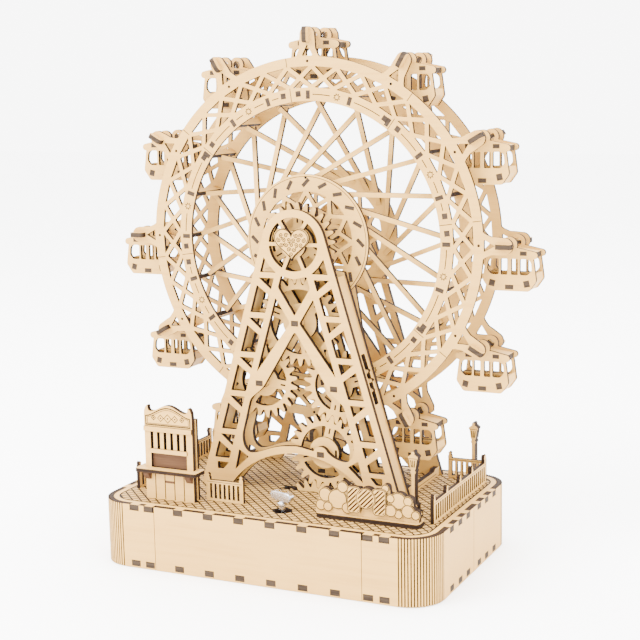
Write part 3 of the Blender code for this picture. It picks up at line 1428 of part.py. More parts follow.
def main():
    """Build every piece."""
    remove_all()
    wood = make_material("birch_ply", (0.93, 0.77, 0.55), 0.6)
    gear_wood = make_material("gear_ply", (0.90, 0.74, 0.52), 0.6)
    dark_wood = make_material("burnt_edge", (0.32, 0.19, 0.11), 0.7)
    cobble_wood = make_material("engraved_deck", (0.80, 0.64, 0.43), 0.7)
    steel = make_material("plated_steel", (0.72, 0.72, 0.74), 0.25, 1.0)
    brass = make_material("brass", (0.78, 0.60, 0.30), 0.3, 1.0)
    make_base(wood)
    make_tower(wood)
    make_foot_rails(cobble_wood)
    make_heart(dark_wood)
    make_gears(gear_wood, dark_wood)
    make_axle(dark_wood)
    make_hub("hub_front", HUB_FRONT_Y, 1, wood)
    make_hub("hub_rear", HUB_REAR_Y, -1, wood)
    make_rims(wood)
    for index, degrees in enumerate(bracket_angles()):
        make_gondola(index, degrees, wood)
    make_movement(steel, brass)
    make_booth(wood)
    make_fences(wood)
    make_lamps(wood)
    make_sign(wood)


main()
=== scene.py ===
"""Looks of the wooden ferris wheel music box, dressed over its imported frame.

Drawings are in millimetres and are turned into metres where a mesh is made.
"""

import json
import logging
import math
from collections.abc import Sequence
from dataclasses import dataclass, field
from enum import Enum

import bpy
from mathutils import Matrix, Vector
from mathutils.geometry import tessellate_polygon

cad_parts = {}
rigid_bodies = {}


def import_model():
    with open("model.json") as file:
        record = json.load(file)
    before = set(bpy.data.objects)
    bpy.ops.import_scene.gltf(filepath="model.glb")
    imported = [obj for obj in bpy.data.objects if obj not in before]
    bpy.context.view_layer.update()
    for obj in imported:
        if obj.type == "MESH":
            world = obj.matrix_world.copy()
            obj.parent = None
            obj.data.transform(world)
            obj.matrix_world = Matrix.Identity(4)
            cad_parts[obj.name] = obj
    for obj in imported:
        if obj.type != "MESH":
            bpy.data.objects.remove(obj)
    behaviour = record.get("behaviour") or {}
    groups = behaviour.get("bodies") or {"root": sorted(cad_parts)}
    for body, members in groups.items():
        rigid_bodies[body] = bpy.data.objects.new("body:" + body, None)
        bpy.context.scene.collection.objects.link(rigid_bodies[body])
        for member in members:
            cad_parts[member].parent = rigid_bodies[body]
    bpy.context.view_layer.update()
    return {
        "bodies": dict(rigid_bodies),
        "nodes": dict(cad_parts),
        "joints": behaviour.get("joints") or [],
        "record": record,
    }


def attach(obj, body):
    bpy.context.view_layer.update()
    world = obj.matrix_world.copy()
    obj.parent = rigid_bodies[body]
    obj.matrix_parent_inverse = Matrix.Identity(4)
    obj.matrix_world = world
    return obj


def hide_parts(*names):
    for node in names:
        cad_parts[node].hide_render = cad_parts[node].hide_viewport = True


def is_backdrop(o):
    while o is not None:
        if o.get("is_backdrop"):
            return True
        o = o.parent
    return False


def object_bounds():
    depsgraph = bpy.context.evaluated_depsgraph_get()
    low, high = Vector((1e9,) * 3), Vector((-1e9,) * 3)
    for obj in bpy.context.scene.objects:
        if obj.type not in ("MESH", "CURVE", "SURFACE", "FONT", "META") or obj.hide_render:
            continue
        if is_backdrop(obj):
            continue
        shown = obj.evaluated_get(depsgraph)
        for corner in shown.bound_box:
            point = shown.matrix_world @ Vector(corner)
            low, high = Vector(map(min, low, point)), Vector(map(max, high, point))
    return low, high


MM = 0.001
SUNK = 0.1  # how far a part reaches into the one it is set on, in millimetres
FINE_LINE, THIN_LINE, PLAIN_LINE, BROAD_LINE = 0.25, 0.3, 0.35, 0.5
Point = tuple[float, float]
Loop = list[Point]
Place = tuple[float, float, float]
Colour = tuple[float, float, float]

log = logging.getLogger("music_box")


class Finish(Enum):
    """The finishes that a face of a piece can have."""

    FACE = "birch_face"
    EDGE = "burnt_edge"
    LINE = "engraved_line"
    END = "tab_end"
    # painted shade: a reddish-brown darkened to stand for the shade in the booth's recessed hatch and its
    # plank slot
    SHADE = "shaded_board"
    COBBLE = "cobble_face"
    JOINT = "cobble_joint"
    STEEL = "plated_steel"
    BRASS = "satin_brass"
    BLUED = "blued_steel"


class Slot(Enum):
    """The record's material slots, named with each piece but not applied to it."""

    PLY = "birch_ply"
    GEAR = "gear_ply"
    BURNT = "burnt_edge"
    COBBLED = "engraved_deck"
    STEEL = "plated_steel"
    BRASS = "brass"


# Drawing helpers

def polar(radius: float, degrees: float, centre: Point = (0, 0)) -> Point:
    """Return the point at a radius and an angle about a centre."""
    turn = math.radians(degrees)
    return (centre[0] + radius * math.cos(turn), centre[1] + radius * math.sin(turn))


def arc(radius: float, start: float, end: float, steps: int, centre: Point = (0, 0)) -> Loop:
    """Return the points of an arc, both ends included."""
    return [polar(radius, start + (end - start) * step / steps, centre) for step in range(steps + 1)]


def ring(radius: float, steps: int, centre: Point = (0, 0)) -> Loop:
    """Return a closed round loop."""
    return arc(radius, 0.0, 360.0, steps, centre)[:-1]


def block(left: float, bottom: float, right: float, top: float) -> Loop:
    """Return a closed rectangle."""
    return [(left, bottom), (right, bottom), (right, top), (left, top)]


def slab(centre: Point, width: float, height: float, degrees: float = 0.0) -> Loop:
    """Return a closed rectangle about a centre, turned by an angle."""
    loop = block(-width / 2, -height / 2, width / 2, height / 2)
    return moved(spun(loop, degrees), *centre)


def moved(loop: Loop, across: float, up: float) -> Loop:
    """Return a loop moved in its drawing."""
    return [(x + across, y + up) for x, y in loop]


def spun(loop: Loop, degrees: float) -> Loop:
    """Return a loop turned about the drawing's origin.

    Args:
        loop: the points in order.
        degrees: the angle.

    Returns:
        The points in order.
    """
    turn = math.radians(degrees)
    cos, sin = math.cos(turn), math.sin(turn)
    return [(x * cos - y * sin, x * sin + y * cos) for x, y in loop]


def mirrored(loop: Loop) -> Loop:
    """Return a loop on the other side of the middle."""
    return [(-x, y) for x, y in reversed(loop)]


def area(loop: Loop) -> float:
    """Return a loop's area, positive if it runs anticlockwise."""
    return sum(a[0] * b[1] - b[0] * a[1] for a, b in zip(loop, loop[1:] + loop[:1])) / 2


def crossing(point: Vector, run: Vector, other: Vector, way: Vector) -> Point:
    """Return where two lines meet, each given as a point and a direction.

    Args:
        point: a point on the first line.
        run: the first line's direction.
        other: a point on the second line.
        way: the second line's direction.

    Returns:
        The point that both lines share.
    """
    span = run.x * way.y - run.y * way.x
    gap = other - point
    place = point + run * ((gap.x * way.y - gap.y * way.x) / span)
    return (place.x, place.y)


def inset(corners: Loop, distances: tuple[float, ...]) -> Loop:
    """Move each edge of a convex loop inwards by its own distance.

    Args:
        corners: the loop's corners in order.
        distances: one distance for the edge after each corner.

    Returns:
        The loop between the moved edges.
    """
    side = 1 if area(corners) > 0 else -1
    lines = []
    for first, second, distance in zip(corners, corners[1:] + corners[:1], distances):
        run = Vector((second[0] - first[0], second[1] - first[1])).normalized()
        lines.append((Vector(first) + Vector((-run.y, run.x)) * side * distance, run))
    return [crossing(*lines[index - 1], *lines[index]) for index in range(len(lines))]


def rounded(loop: Loop, radius: float, steps: int = 3) -> Loop:
    """Round every corner of a loop with a short curve.

    Args:
        loop: the loop's corners in order.
        radius: how far from each corner the curve starts.
        steps: how many pieces each curve has.

    Returns:
        The rounded loop.
    """
    out: Loop = []
    for index, corner in enumerate(loop):
        here = Vector(corner)
        before, after = Vector(loop[index - 1]) - here, Vector(loop[(index + 1) % len(loop)]) - here
        reach = min(radius, 0.45 * before.length, 0.45 * after.length)
        start, end = here + before.normalized() * reach, here + after.normalized() * reach
        for step in range(steps + 1):
            share = step / steps
            place = start * (1 - share) ** 2 + here * 2 * share * (1 - share) + end * share ** 2
            out.append((place.x, place.y))
    return out


def offsets(points: Loop, width: float, closed: bool) -> tuple[Loop, Loop]:
    """Return the two sides of a strip of even width along a line.

    Args:
        points: the points in order.
        width: the strip's width.
        closed: whether the end joins the start.

    Returns:
        The left side and the right side.
    """
    left, right = [], []
    last = len(points) - 1
    for index, point in enumerate(points):
        here = Vector(point)
        before = here - Vector(points[index - 1]) if closed or index > 0 else Vector(points[1]) - here
        after = Vector(points[(index + 1) % len(points)]) - here if closed or index < last else before
        first, second = before.normalized(), after.normalized()
        normal = Vector((-first.y - second.y, first.x + second.x))
        normal = normal.normalized() if normal.length > 1e-6 else Vector((-first.y, first.x))
        stretch = max(normal.dot(Vector((-first.y, first.x))), 0.5)
        shift = normal * (width / 2 / stretch)
        left.append(tuple(here + shift))
        right.append(tuple(here - shift))
    return left, right


def clipped(loop: Loop, edge_point: Point, inward: Point) -> Loop:
    """Cut a convex loop with a straight line.

    Args:
        loop: the convex loop.
        edge_point: a point on the line.
        inward: the direction that points to the kept side.

    Returns:
        What is left of the loop, which may be empty.
    """
    out: Loop = []
    for first, second in zip(loop, loop[1:] + loop[:1]):
        here = (first[0] - edge_point[0]) * inward[0] + (first[1] - edge_point[1]) * inward[1]
        there = (second[0] - edge_point[0]) * inward[0] + (second[1] - edge_point[1]) * inward[1]
        if here >= 0:
            out.append(first)
        if (here > 0 > there) or (here < 0 < there):
            share = here / (here - there)
            out.append((first[0] + (second[0] - first[0]) * share, first[1] + (second[1] - first[1]) * share))
    return out


def trimmed(loop: Loop, edge: Loop) -> Loop:
    """Cut a convex loop to what lies inside a convex edge.

    Args:
        loop: the convex loop.
        edge: the edge's points, anticlockwise.

    Returns:
        What is left of the loop, which may be empty.
    """
    for first, second in zip(edge, edge[1:] + edge[:1]):
        if len(loop) > 2:
            loop = clipped(loop, first, (-(second[1] - first[1]), second[0] - first[0]))
    return loop if len(loop) > 2 else []


def holds(loop: Loop, point: Point) -> bool:
    """Return whether a point lies inside a loop.

    Args:
        loop: the points in order.
        point: the point to look for.

    Returns:
        True if it lies inside.
    """
    inside = False
    for first, second in zip(loop, loop[1:] + loop[:1]):
        if (first[1] > point[1]) != (second[1] > point[1]):
            share = (point[1] - first[1]) / (second[1] - first[1])
            inside ^= point[0] < first[0] + share * (second[0] - first[0])
    return inside


@dataclass(frozen=True)
class Plane:
    """A drawing plane: which way its drawing and its depth run in the world."""

    across: tuple[float, float, float]
    up: tuple[float, float, float]
    depth: tuple[float, float, float]
    origin: tuple[float, float, float] = (0, 0, 0)

    def place(self, point: Point, depth: float) -> Vector:
        """Return the world place of a drawing point at a depth, in millimetres."""
        flat = Vector(self.across) * point[0] + Vector(self.up) * point[1]
        return Vector(self.origin) + flat + Vector(self.depth) * depth

    @property
    def right_handed(self) -> bool:
        """Whether the depth runs towards whoever sees the drawing the right way round."""
        return Vector(self.across).cross(Vector(self.up)).dot(Vector(self.depth)) > 0


LYING = Plane((1, 0, 0), (0, 1, 0), (0, 0, 1))
STANDING = Plane((1, 0, 0), (0, 0, 1), (0, 1, 0))
SIDEWAYS = Plane((0, 1, 0), (0, 0, 1), (1, 0, 0))


def placed(name: str, data: bpy.types.ID) -> bpy.types.Object:
    """Make an object of a mesh, a light or a camera and link it to the scene.

    Args:
        name: the object's name.
        data: what it shows.

    Returns:
        The new object.
    """
    item = bpy.data.objects.new(name, data)
    bpy.context.scene.collection.objects.link(item)
    return item


class Work:
    """Gathers the faces of one piece, each face with its own finish."""

    def __init__(self, plane: Plane = STANDING) -> None:
        """Start an empty piece in a drawing plane.

        Args:
            plane: the plane that it is drawn in.
        """
        self.plane = plane
        self.points: list[Vector] = []
        self.layers: list[float] = []
        self.faces: list[tuple[int, ...]] = []
        self.finishes: list[Finish] = []

    def add(self, places: list[Vector], layer: float) -> int:
        """Add points that share a layer value and return the first one's index.

        Args:
            places: the points in the world.
            layer: the value that they share.

        Returns:
            The first point's index.
        """
        start = len(self.points)
        self.points += places
        self.layers += [layer] * len(places)
        return start

    def face(self, corners: tuple[int, ...], finish: Finish, forward: bool = True) -> None:
        """Add one face, with its corners reversed if it looks the other way."""
        self.faces.append(corners if forward else tuple(reversed(corners)))
        self.finishes.append(finish)

    def plate(self, outer: Loop, holes: list[Loop], near: float, far: float, face: Finish = Finish.FACE,
              back: Finish = Finish.FACE, edge: Finish = Finish.EDGE,
              edges: list[Finish] | None = None) -> None:
        """Add a flat piece with holes between two depths.

        Args:
            outer: the piece's outline.
            holes: the outlines of its openings.
            near: the depth of its first side.
            far: the depth of its second side.
            face: the finish of the first side.
            back: the finish of the second side.
            edge: the finish of the walls around it and in its holes.
            edges: a finish for each wall of the outline, in place of edge.
        """
        right = self.plane.right_handed
        loops: list[Loop] = []
        marks: list[list[Finish]] = []
        for index, loop in enumerate([outer, *holes]):
            own = list(edges) if edges and index == 0 else [edge] * len(loop)
            wanted = index == 0
            if (area(loop) > 0) != wanted:
                count = len(loop)
                own = [own[(count - 2 - place) % count] for place in range(count)]
                loop = list(reversed(loop))
            loops.append(loop)
            marks.append(own)
        flat = [point for loop in loops for point in loop]
        low = self.add([self.plane.place(point, near) for point in flat], 0.0)
        high = self.add([self.plane.place(point, far) for point in flat], 1.0)
        start = 0
        for loop, own in zip(loops, marks):
            count = len(loop)
            for index in range(count):
                a, b = start + index, start + (index + 1) % count
                self.face((low + a, low + b, high + b, high + a), own[index], right)
            start += count
        for a, b, c in tessellate_polygon([[Vector((x, y, 0)) for x, y in loop] for loop in loops]):
            turn = area([flat[a], flat[b], flat[c]])
            if abs(turn) < 1e-9:
                continue
            upright = (turn > 0) == right
            self.face((high + a, high + b, high + c), back, upright)
            self.face((low + a, low + b, low + c), face, not upright)

    def plain(self, outer: Loop, holes: list[Loop], near: float, far: float, finish: Finish) -> None:
        """Add a flat piece with holes between two depths, in one finish all over."""
        self.plate(outer, holes, near, far, finish, finish, finish)

    def pad(self, loop: Loop, at: float, way: int, finish: Finish = Finish.END, rise: float = 0.05,
            sink: float = 0.25) -> None:
        """Set a thin piece into a surface, a little proud of it.

        Args:
            loop: the piece's outline.
            at: the depth of the surface.
            way: 1 if the surface looks along the depth, -1 if against it.
            finish: the piece's finish.
            rise: how far it stands out.
            sink: how far it reaches in.
        """
        low, high = sorted((at - way * sink, at + way * rise))
        self.plain(loop, [], low, high, finish)

    def line(self, points: Loop, width: float, at: float, way: int, closed: bool = False,
             finish: Finish = Finish.LINE, rise: float = 0.05) -> None:
        """Engrave a line of even width along points on a surface.

        Args:
            points: the points in order.
            width: the line's width.
            at: the depth of the surface.
            way: 1 if the surface looks along the depth, -1 if against it.
            closed: whether the end joins the start.
            finish: the finish of its faces.
            rise: how far it stands out.
        """
        left, right = offsets(points, width, closed)
        low, high = sorted((at - way * 0.25, at + way * rise))
        if closed:
            outer, inner = (left, right) if abs(area(left)) > abs(area(right)) else (right, left)
            self.plain(outer, [inner], low, high, finish)
        else:
            self.plain(left + right[::-1], [], low, high, finish)

    def prism(self, first: list[Vector], second: list[Vector], sides: list[Finish], ends: Finish) -> None:
        """Add a closed body between two rings of world points with the same number of corners.

        Args:
            first: one end's corners in order.
            second: the other end's corners in the same order.
            sides: the finish of the side after each corner.
            ends: the finish of the two ends.
        """
        count = len(first)
        middle = sum(first, Vector()) / count
        run = sum(second, Vector()) / count - middle
        turn = sum(((a - middle).cross(b - middle) for a, b in zip(first, first[1:] + first[:1])), Vector())
        forward = turn.dot(run) > 0
        low, high = self.add(first, 0.0), self.add(second, 1.0)
        for index in range(count):
            after = (index + 1) % count
            self.face((low + index, low + after, high + after, high + index), sides[index], forward)
        self.face(tuple(high + index for index in range(count)), ends, forward)
        self.face(tuple(low + index for index in range(count)), ends, not forward)

    def lathe(self, profile: Sequence[Point], origin: Vector, axis: Vector, steps: int,
              finish: Finish) -> None:
        """Turn a profile of radius and height about an axis, closed at both ends.

        Args:
            profile: the radius and height of each ring, from the bottom up.
            origin: where the height is zero.
            axis: the direction in which the height grows.
            steps: how many pieces the curve has.
            finish: the finish of its faces.
        """
        side = axis.orthogonal().normalized()
        other = axis.cross(side)
        rings = []
        for radius, height in profile:
            spots = [origin + axis * height + (side * math.cos(turn) + other * math.sin(turn)) * radius
                     for turn in (2 * math.pi * step / steps for step in range(steps))]
            rings.append(self.add(spots, 0.5))
        for low, high in zip(rings, rings[1:]):
            for index in range(steps):
                after = (index + 1) % steps
                self.face((low + index, low + after, high + after, high + index), finish)
        self.face(tuple(rings[-1] + index for index in range(steps)), finish)
        self.face(tuple(rings[0] + index for index in range(steps)), finish, False)

    def piece(self, name: str, shelf: "FinishShelf", origin: Vector | None = None) -> bpy.types.Object:
        """Turn the gathered faces into an object.

        Args:
            name: the object's name.
            shelf: what holds the materials.
            origin: the object's own origin in millimetres, with the points given about it.

        Returns:
            The new object, linked to the scene.
        """
        mesh = bpy.data.meshes.new(name)
        mesh.from_pydata([point * MM for point in self.points], [], self.faces)
        used = sorted(set(self.finishes), key=lambda finish: finish.value)
        for finish in used:
            mesh.materials.append(shelf.take(finish))
        places = {finish: index for index, finish in enumerate(used)}
        mesh.polygons.foreach_set("material_index", [places[finish] for finish in self.finishes])
        layer = mesh.attributes.new("layer", "FLOAT", "POINT")
        layer.data.foreach_set("value", self.layers)
        mesh.shade_smooth()
        mesh.set_sharp_from_angle(angle=math.radians(32))
        mesh.update()
        item = placed(name, mesh)
        if origin is not None:
            item.location = origin * MM
        return item


# Finishes

class Recipe:
    """Builds one node material step by step."""

    def __init__(self, name: str) -> None:
        """Start a material with a Principled shader and object coordinates.

        Args:
            name: the material's name.
        """
        self.material = bpy.data.materials.new(name)
        self.material.use_nodes = True
        self.tree = self.material.node_tree
        self.shader = self.tree.nodes["Principled BSDF"]
        self.object_space = self.tree.nodes.new("ShaderNodeTexCoord").outputs["Object"]

    def noise(self, stretch: Colour, detail: float = 4.0, rough: float = 0.55) -> bpy.types.NodeSocket:
        """Return noise in object space, finer along the axes with larger numbers.

        Args:
            stretch: how fine it is along each axis.
            detail: how many finer layers it has.
            rough: how strong the finer layers are.

        Returns:
            The socket that carries the result.
        """
        mapping = self.tree.nodes.new("ShaderNodeMapping")
        mapping.inputs["Scale"].default_value = stretch
        self.tree.links.new(self.object_space, mapping.inputs["Vector"])
        noise = self.tree.nodes.new("ShaderNodeTexNoise")
        noise.inputs["Scale"].default_value = 1.0
        noise.inputs["Detail"].default_value = detail
        noise.inputs["Roughness"].default_value = rough
        self.tree.links.new(mapping.outputs["Vector"], noise.inputs["Vector"])
        return noise.outputs["Fac"]

    def attribute(self, name: str) -> bpy.types.NodeSocket:
        """Return a value that is stored on the mesh.

        Args:
            name: the value's name.

        Returns:
            The socket that carries the result.
        """
        node = self.tree.nodes.new("ShaderNodeAttribute")
        node.attribute_name = name
        return node.outputs["Fac"]

    def island(self) -> bpy.types.NodeSocket:
        """Return a number that differs from one loose part of the mesh to the next."""
        return self.tree.nodes.new("ShaderNodeNewGeometry").outputs["Random Per Island"]

    def ramp(self, value: bpy.types.NodeSocket, stops: list[tuple[float, Colour]]) -> bpy.types.NodeSocket:
        """Turn a number into a colour by a row of stops.

        Args:
            value: the number.
            stops: the place and colour of each stop.

        Returns:
            The socket that carries the result.
        """
        node = self.tree.nodes.new("ShaderNodeValToRGB")
        row = node.color_ramp.elements
        while len(row) < len(stops):
            row.new(0.5)
        for element, (place, colour) in zip(row, stops):
            element.position = place
            element.color = (*colour, 1.0)
        self.tree.links.new(value, node.inputs["Fac"])
        return node.outputs["Color"]

    def spread(self, value: bpy.types.NodeSocket, low: float, high: float, to_low: float,
               to_high: float) -> bpy.types.NodeSocket:
        """Stretch a number from one range to another.

        Args:
            value: the number.
            low: the lower end.
            high: the upper end.
            to_low: what the lower end becomes.
            to_high: what the upper end becomes.

        Returns:
            The socket that carries the result.
        """
        node = self.tree.nodes.new("ShaderNodeMapRange")
        for name, number in (("From Min", low), ("From Max", high), ("To Min", to_low), ("To Max", to_high)):
            node.inputs[name].default_value = number
        self.tree.links.new(value, node.inputs["Value"])
        return node.outputs["Result"]

    def mix(self, share: bpy.types.NodeSocket, first: bpy.types.NodeSocket, second: bpy.types.NodeSocket
            ) -> bpy.types.NodeSocket:
        """Mix two colours by a share.

        Args:
            share: how much of the second one shows.
            first: the first colour.
            second: the second colour.

        Returns:
            The socket that carries the result.
        """
        node = self.tree.nodes.new("ShaderNodeMix")
        node.data_type = "RGBA"
        colours = [socket for socket in node.inputs if socket.type == "RGBA"]
        result = next(socket for socket in node.outputs if socket.type == "RGBA")
        self.tree.links.new(share, node.inputs["Factor"])
        self.tree.links.new(first, colours[0])
        self.tree.links.new(second, colours[1])
        return result

    def colour(self, socket: bpy.types.NodeSocket) -> None:
        """Use a colour as the surface's own."""
        self.tree.links.new(socket, self.shader.inputs["Base Color"])

    def roughness(self, socket: bpy.types.NodeSocket) -> None:
        """Use a number as the surface's roughness."""
        self.tree.links.new(socket, self.shader.inputs["Roughness"])

    def gloss(self, level: float) -> None:
        """Set how much light the surface mirrors."""
        self.shader.inputs["Specular IOR Level"].default_value = level

    def bump(self, height: bpy.types.NodeSocket, distance: float, strength: float) -> None:
        """Raise the surface a little by a number.

        Args:
            height: the number to raise it by.
            distance: how far the highest part is raised, in metres.
            strength: how strong the effect is.
        """
        node = self.tree.nodes.new("ShaderNodeBump")
        node.inputs["Distance"].default_value = distance
        node.inputs["Strength"].default_value = strength
        self.tree.links.new(height, node.inputs["Height"])
        self.tree.links.new(node.outputs["Normal"], self.shader.inputs["Normal"])


@dataclass(frozen=True)
class Birch:
    """Sanded birch veneer with fine grain along one axis."""

    light: Colour = (0.420, 0.235, 0.055)
    deep: Colour = (0.365, 0.195, 0.041)
    pore: Colour = (0.230, 0.112, 0.022)
    grain: Colour = (22.0, 420.0, 420.0)
    cloud: Colour = (38.0, 60.0, 60.0)
    rough: tuple[float, float] = (0.50, 0.66)
    relief: tuple[float, float] = (0.00004, 0.35)
    gloss: float = 0.2

    def make(self, name: str) -> bpy.types.Material:
        """Return the veneer's material.

        Args:
            name: the material's name.

        Returns:
            The finished material.
        """
        recipe = Recipe(name)
        streaks = recipe.noise(self.grain, 5.0, 0.6)
        clouds = recipe.noise(self.cloud, 2.0)
        along, across, up = self.grain
        pores = recipe.noise((along * 5, across * 4, up * 4), 2.0)
        base = recipe.ramp(streaks, [(0.30, self.deep), (0.55, self.light), (0.80, self.light)])
        soft = recipe.ramp(clouds, [(0.35, self.deep), (0.65, self.light)])
        body = recipe.mix(recipe.spread(clouds, 0.2, 0.8, 0.15, 0.45), base, soft)
        dark = recipe.ramp(pores, [(0.0, self.pore), (1.0, self.pore)])
        recipe.colour(recipe.mix(recipe.spread(pores, 0.66, 0.78, 0.0, 0.35), body, dark))
        recipe.roughness(recipe.spread(streaks, 0.2, 0.8, *self.rough))
        recipe.bump(streaks, *self.relief)
        recipe.gloss(self.gloss)
        return recipe.material


@dataclass(frozen=True)
class BurntEdge:
    """The laser-burnt edge of a sheet, with its plies one above the other."""

    outer: Colour = (0.0160, 0.0080, 0.0040)
    inner: Colour = (0.0090, 0.0044, 0.0022)
    glue: Colour = (0.0042, 0.0021, 0.0011)
    singe: Colour = (0.0280, 0.0145, 0.0075)
    patch: Colour = (260.0, 260.0, 260.0)
    rough: tuple[float, float] = (0.6, 0.85)
    gloss: float = 0.06

    def make(self, name: str) -> bpy.types.Material:
        """Return the edge's material.

        Args:
            name: the material's name.

        Returns:
            The finished material.
        """
        recipe = Recipe(name)
        plies = recipe.ramp(recipe.attribute("layer"), [
            (0.0, self.outer), (0.30, self.outer), (0.34, self.glue), (0.38, self.inner),
            (0.62, self.inner), (0.66, self.glue), (0.70, self.outer), (1.0, self.outer)])
        patches = recipe.noise(self.patch, 3.0)
        singe = recipe.ramp(patches, [(0.0, self.singe), (1.0, self.singe)])
        recipe.colour(recipe.mix(recipe.spread(patches, 0.45, 0.75, 0.0, 0.6), plies, singe))
        recipe.roughness(recipe.spread(patches, 0.2, 0.8, *self.rough))
        recipe.gloss(self.gloss)
        return recipe.material


@dataclass(frozen=True)
class Streaked:
    """A darker wooden surface with streaks: tab ends, engraved lines, and the painted shade of the booth's
    recessed hatch and plank slot.
    """

    dark: Colour
    light: Colour
    grain: Colour = (60.0, 500.0, 900.0)
    rough: tuple[float, float] = (0.6, 0.8)
    gloss: float = 0.06

    def make(self, name: str) -> bpy.types.Material:
        """Return the streaked material.

        Args:
            name: the material's name.

        Returns:
            The finished material.
        """
        recipe = Recipe(name)
        streaks = recipe.noise(self.grain, 4.0)
        recipe.colour(recipe.ramp(streaks, [(0.32, self.dark), (0.68, self.light)]))
        recipe.roughness(recipe.spread(streaks, 0.2, 0.8, *self.rough))
        recipe.gloss(self.gloss)
        return recipe.material


@dataclass(frozen=True)
class Cobbles:
    """Small engraved stones, each a little lighter or darker than the next."""

    dark: Colour = (0.225, 0.122, 0.030)
    light: Colour = (0.330, 0.186, 0.048)
    grain: Colour = (40.0, 500.0, 500.0)
    rough: tuple[float, float] = (0.58, 0.75)
    gloss: float = 0.15

    def make(self, name: str) -> bpy.types.Material:
        """Return the stones' material.

        Args:
            name: the material's name.

        Returns:
            The finished material.
        """
        recipe = Recipe(name)
        streaks = recipe.noise(self.grain, 4.0)
        stones = recipe.ramp(recipe.island(), [(0.0, self.dark), (1.0, self.light)])
        grain = recipe.ramp(streaks, [(0.3, self.dark), (0.7, self.light)])
        recipe.colour(recipe.mix(recipe.spread(streaks, 0.2, 0.8, 0.3, 0.6), stones, grain))
        recipe.roughness(recipe.spread(streaks, 0.2, 0.8, *self.rough))
        recipe.gloss(self.gloss)
        return recipe.material


@dataclass(frozen=True)
class Metal:
    """A metal with fine wear in its polish."""

    light: Colour
    dull: Colour
    rough: tuple[float, float]
    wear: Colour = (300.0, 300.0, 900.0)

    def make(self, name: str) -> bpy.types.Material:
        """Return the metal's material.

        Args:
            name: the material's name.

        Returns:
            The finished material.
        """
        recipe = Recipe(name)
        wear = recipe.noise(self.wear, 4.0)
        recipe.colour(recipe.ramp(wear, [(0.3, self.dull), (0.7, self.light)]))
        recipe.roughness(recipe.spread(wear, 0.2, 0.8, *self.rough))
        recipe.shader.inputs["Metallic"].default_value = 1.0
        return recipe.material


class FinishShelf:
    """Makes each finish once and hands it out."""

    def __init__(self) -> None:
        """Put every recipe on the shelf."""
        self.recipes = {
            Finish.FACE: Birch(),
            Finish.EDGE: BurntEdge(),
            Finish.LINE: Streaked((0.0035, 0.0020, 0.0012), (0.0085, 0.0048, 0.0028)),
            Finish.END: Streaked((0.0180, 0.0112, 0.0066), (0.0370, 0.0245, 0.0155)),
            # SHADE is reddish-brown darkened as painted shade for the recessed hatch and the plank slot; the
            # counter's brackets use it too
            Finish.SHADE: Streaked((0.0480, 0.0220, 0.0105), (0.0700, 0.0345, 0.0170)),
            Finish.COBBLE: Cobbles(),
            Finish.JOINT: Streaked((0.0035, 0.0020, 0.0012), (0.0085, 0.0048, 0.0028)),
            Finish.STEEL: Metal((0.62, 0.62, 0.64), (0.46, 0.46, 0.49), (0.12, 0.26)),
            Finish.BRASS: Metal((0.80, 0.60, 0.28), (0.66, 0.47, 0.20), (0.22, 0.36)),
            Finish.BLUED: Metal((0.42, 0.43, 0.47), (0.30, 0.31, 0.35), (0.25, 0.40)),
        }
        self.made: dict[Finish, bpy.types.Material] = {}

    def take(self, finish: Finish) -> bpy.types.Material:
        """Return a finish's material, made on first use.

        Args:
            finish: the wanted finish.

        Returns:
            The material.
        """
        if finish not in self.made:
            self.made[finish] = self.recipes[finish].make(finish.value)
        return self.made[finish]


def mount(piece: bpy.types.Object, body: str, slot: Slot, *nodes: str) -> None:
    """Let a piece ride on a body and stand for its nodes.

    Args:
        piece: the finished piece.
        body: the body that it moves with.
        slot: the record's material slot; not used.
        nodes: the plain solids that it is shown in place of.
    """
    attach(piece, body)
    if nodes:
        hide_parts(*nodes)
    log.info("%s rides on %s with %d faces", piece.name, body, len(piece.data.polygons))


@dataclass
class Assembly:
    """A sub-assembly that takes its finishes from the shelf and shows its pieces."""

    finishes: FinishShelf

    def show(self, work: Work, name: str, body: str, slot: Slot, *nodes: str) -> None:
        """Turn the gathered faces into a piece that rides on a body."""
        mount(work.piece(name, self.finishes), body, slot, *nodes)


@dataclass(frozen=True)
class Layout:
    """Sizes that several sub-assemblies share, in millimetres."""

    ply: float = 3.0
    thin: float = 2.0
    gap: float = 0.3
    half_width: float = 97.0
    half_depth: float = 62.5
    corner: float = 18.0
    deck_top: float = 35.0
    axle_z: float = 171.0
    wheel_middle: float = 27.5
    axle_radius: float = 3.0
    tower_front: float = -10.5
    tower_inner: float = 1.5
    tower_rear: float = 51.5
    gear_front: float = -4.5

    def tab_places(self) -> list[float]:
        """Return the places of the tabs along the front and the back."""
        right = [9.05, 27.15, 45.25, 63.35, 72.2]
        return [-place for place in reversed(right)] + right

    def side_places(self) -> list[float]:
        """Return the places of the tabs along each side."""
        right = [8.7, 20.8, 33.3]
        return [-place for place in reversed(right)] + right

    def bends(self, inner: float, steps: int) -> list[Loop]:
        """Return the base's four rounded corners, anticlockwise from the right at the back.

        Args:
            inner: the distance inside the outer face.
            steps: how many pieces each corner has.

        Returns:
            The points of each corner.
        """
        out = []
        for quadrant, (sign_x, sign_y) in enumerate(((1, 1), (-1, 1), (-1, -1), (1, -1))):
            centre = (sign_x * (self.half_width - self.corner), sign_y * (self.half_depth - self.corner))
            out.append(arc(self.corner - inner, quadrant * 90, quadrant * 90 + 90, steps, centre))
        return out

    def rounded_edge(self, inner: float) -> Loop:
        """Return the base's rounded outline, a distance inside its outer face."""
        return [point for bend in self.bends(inner, 10) for point in bend]


LAYOUT = Layout()


# Base box

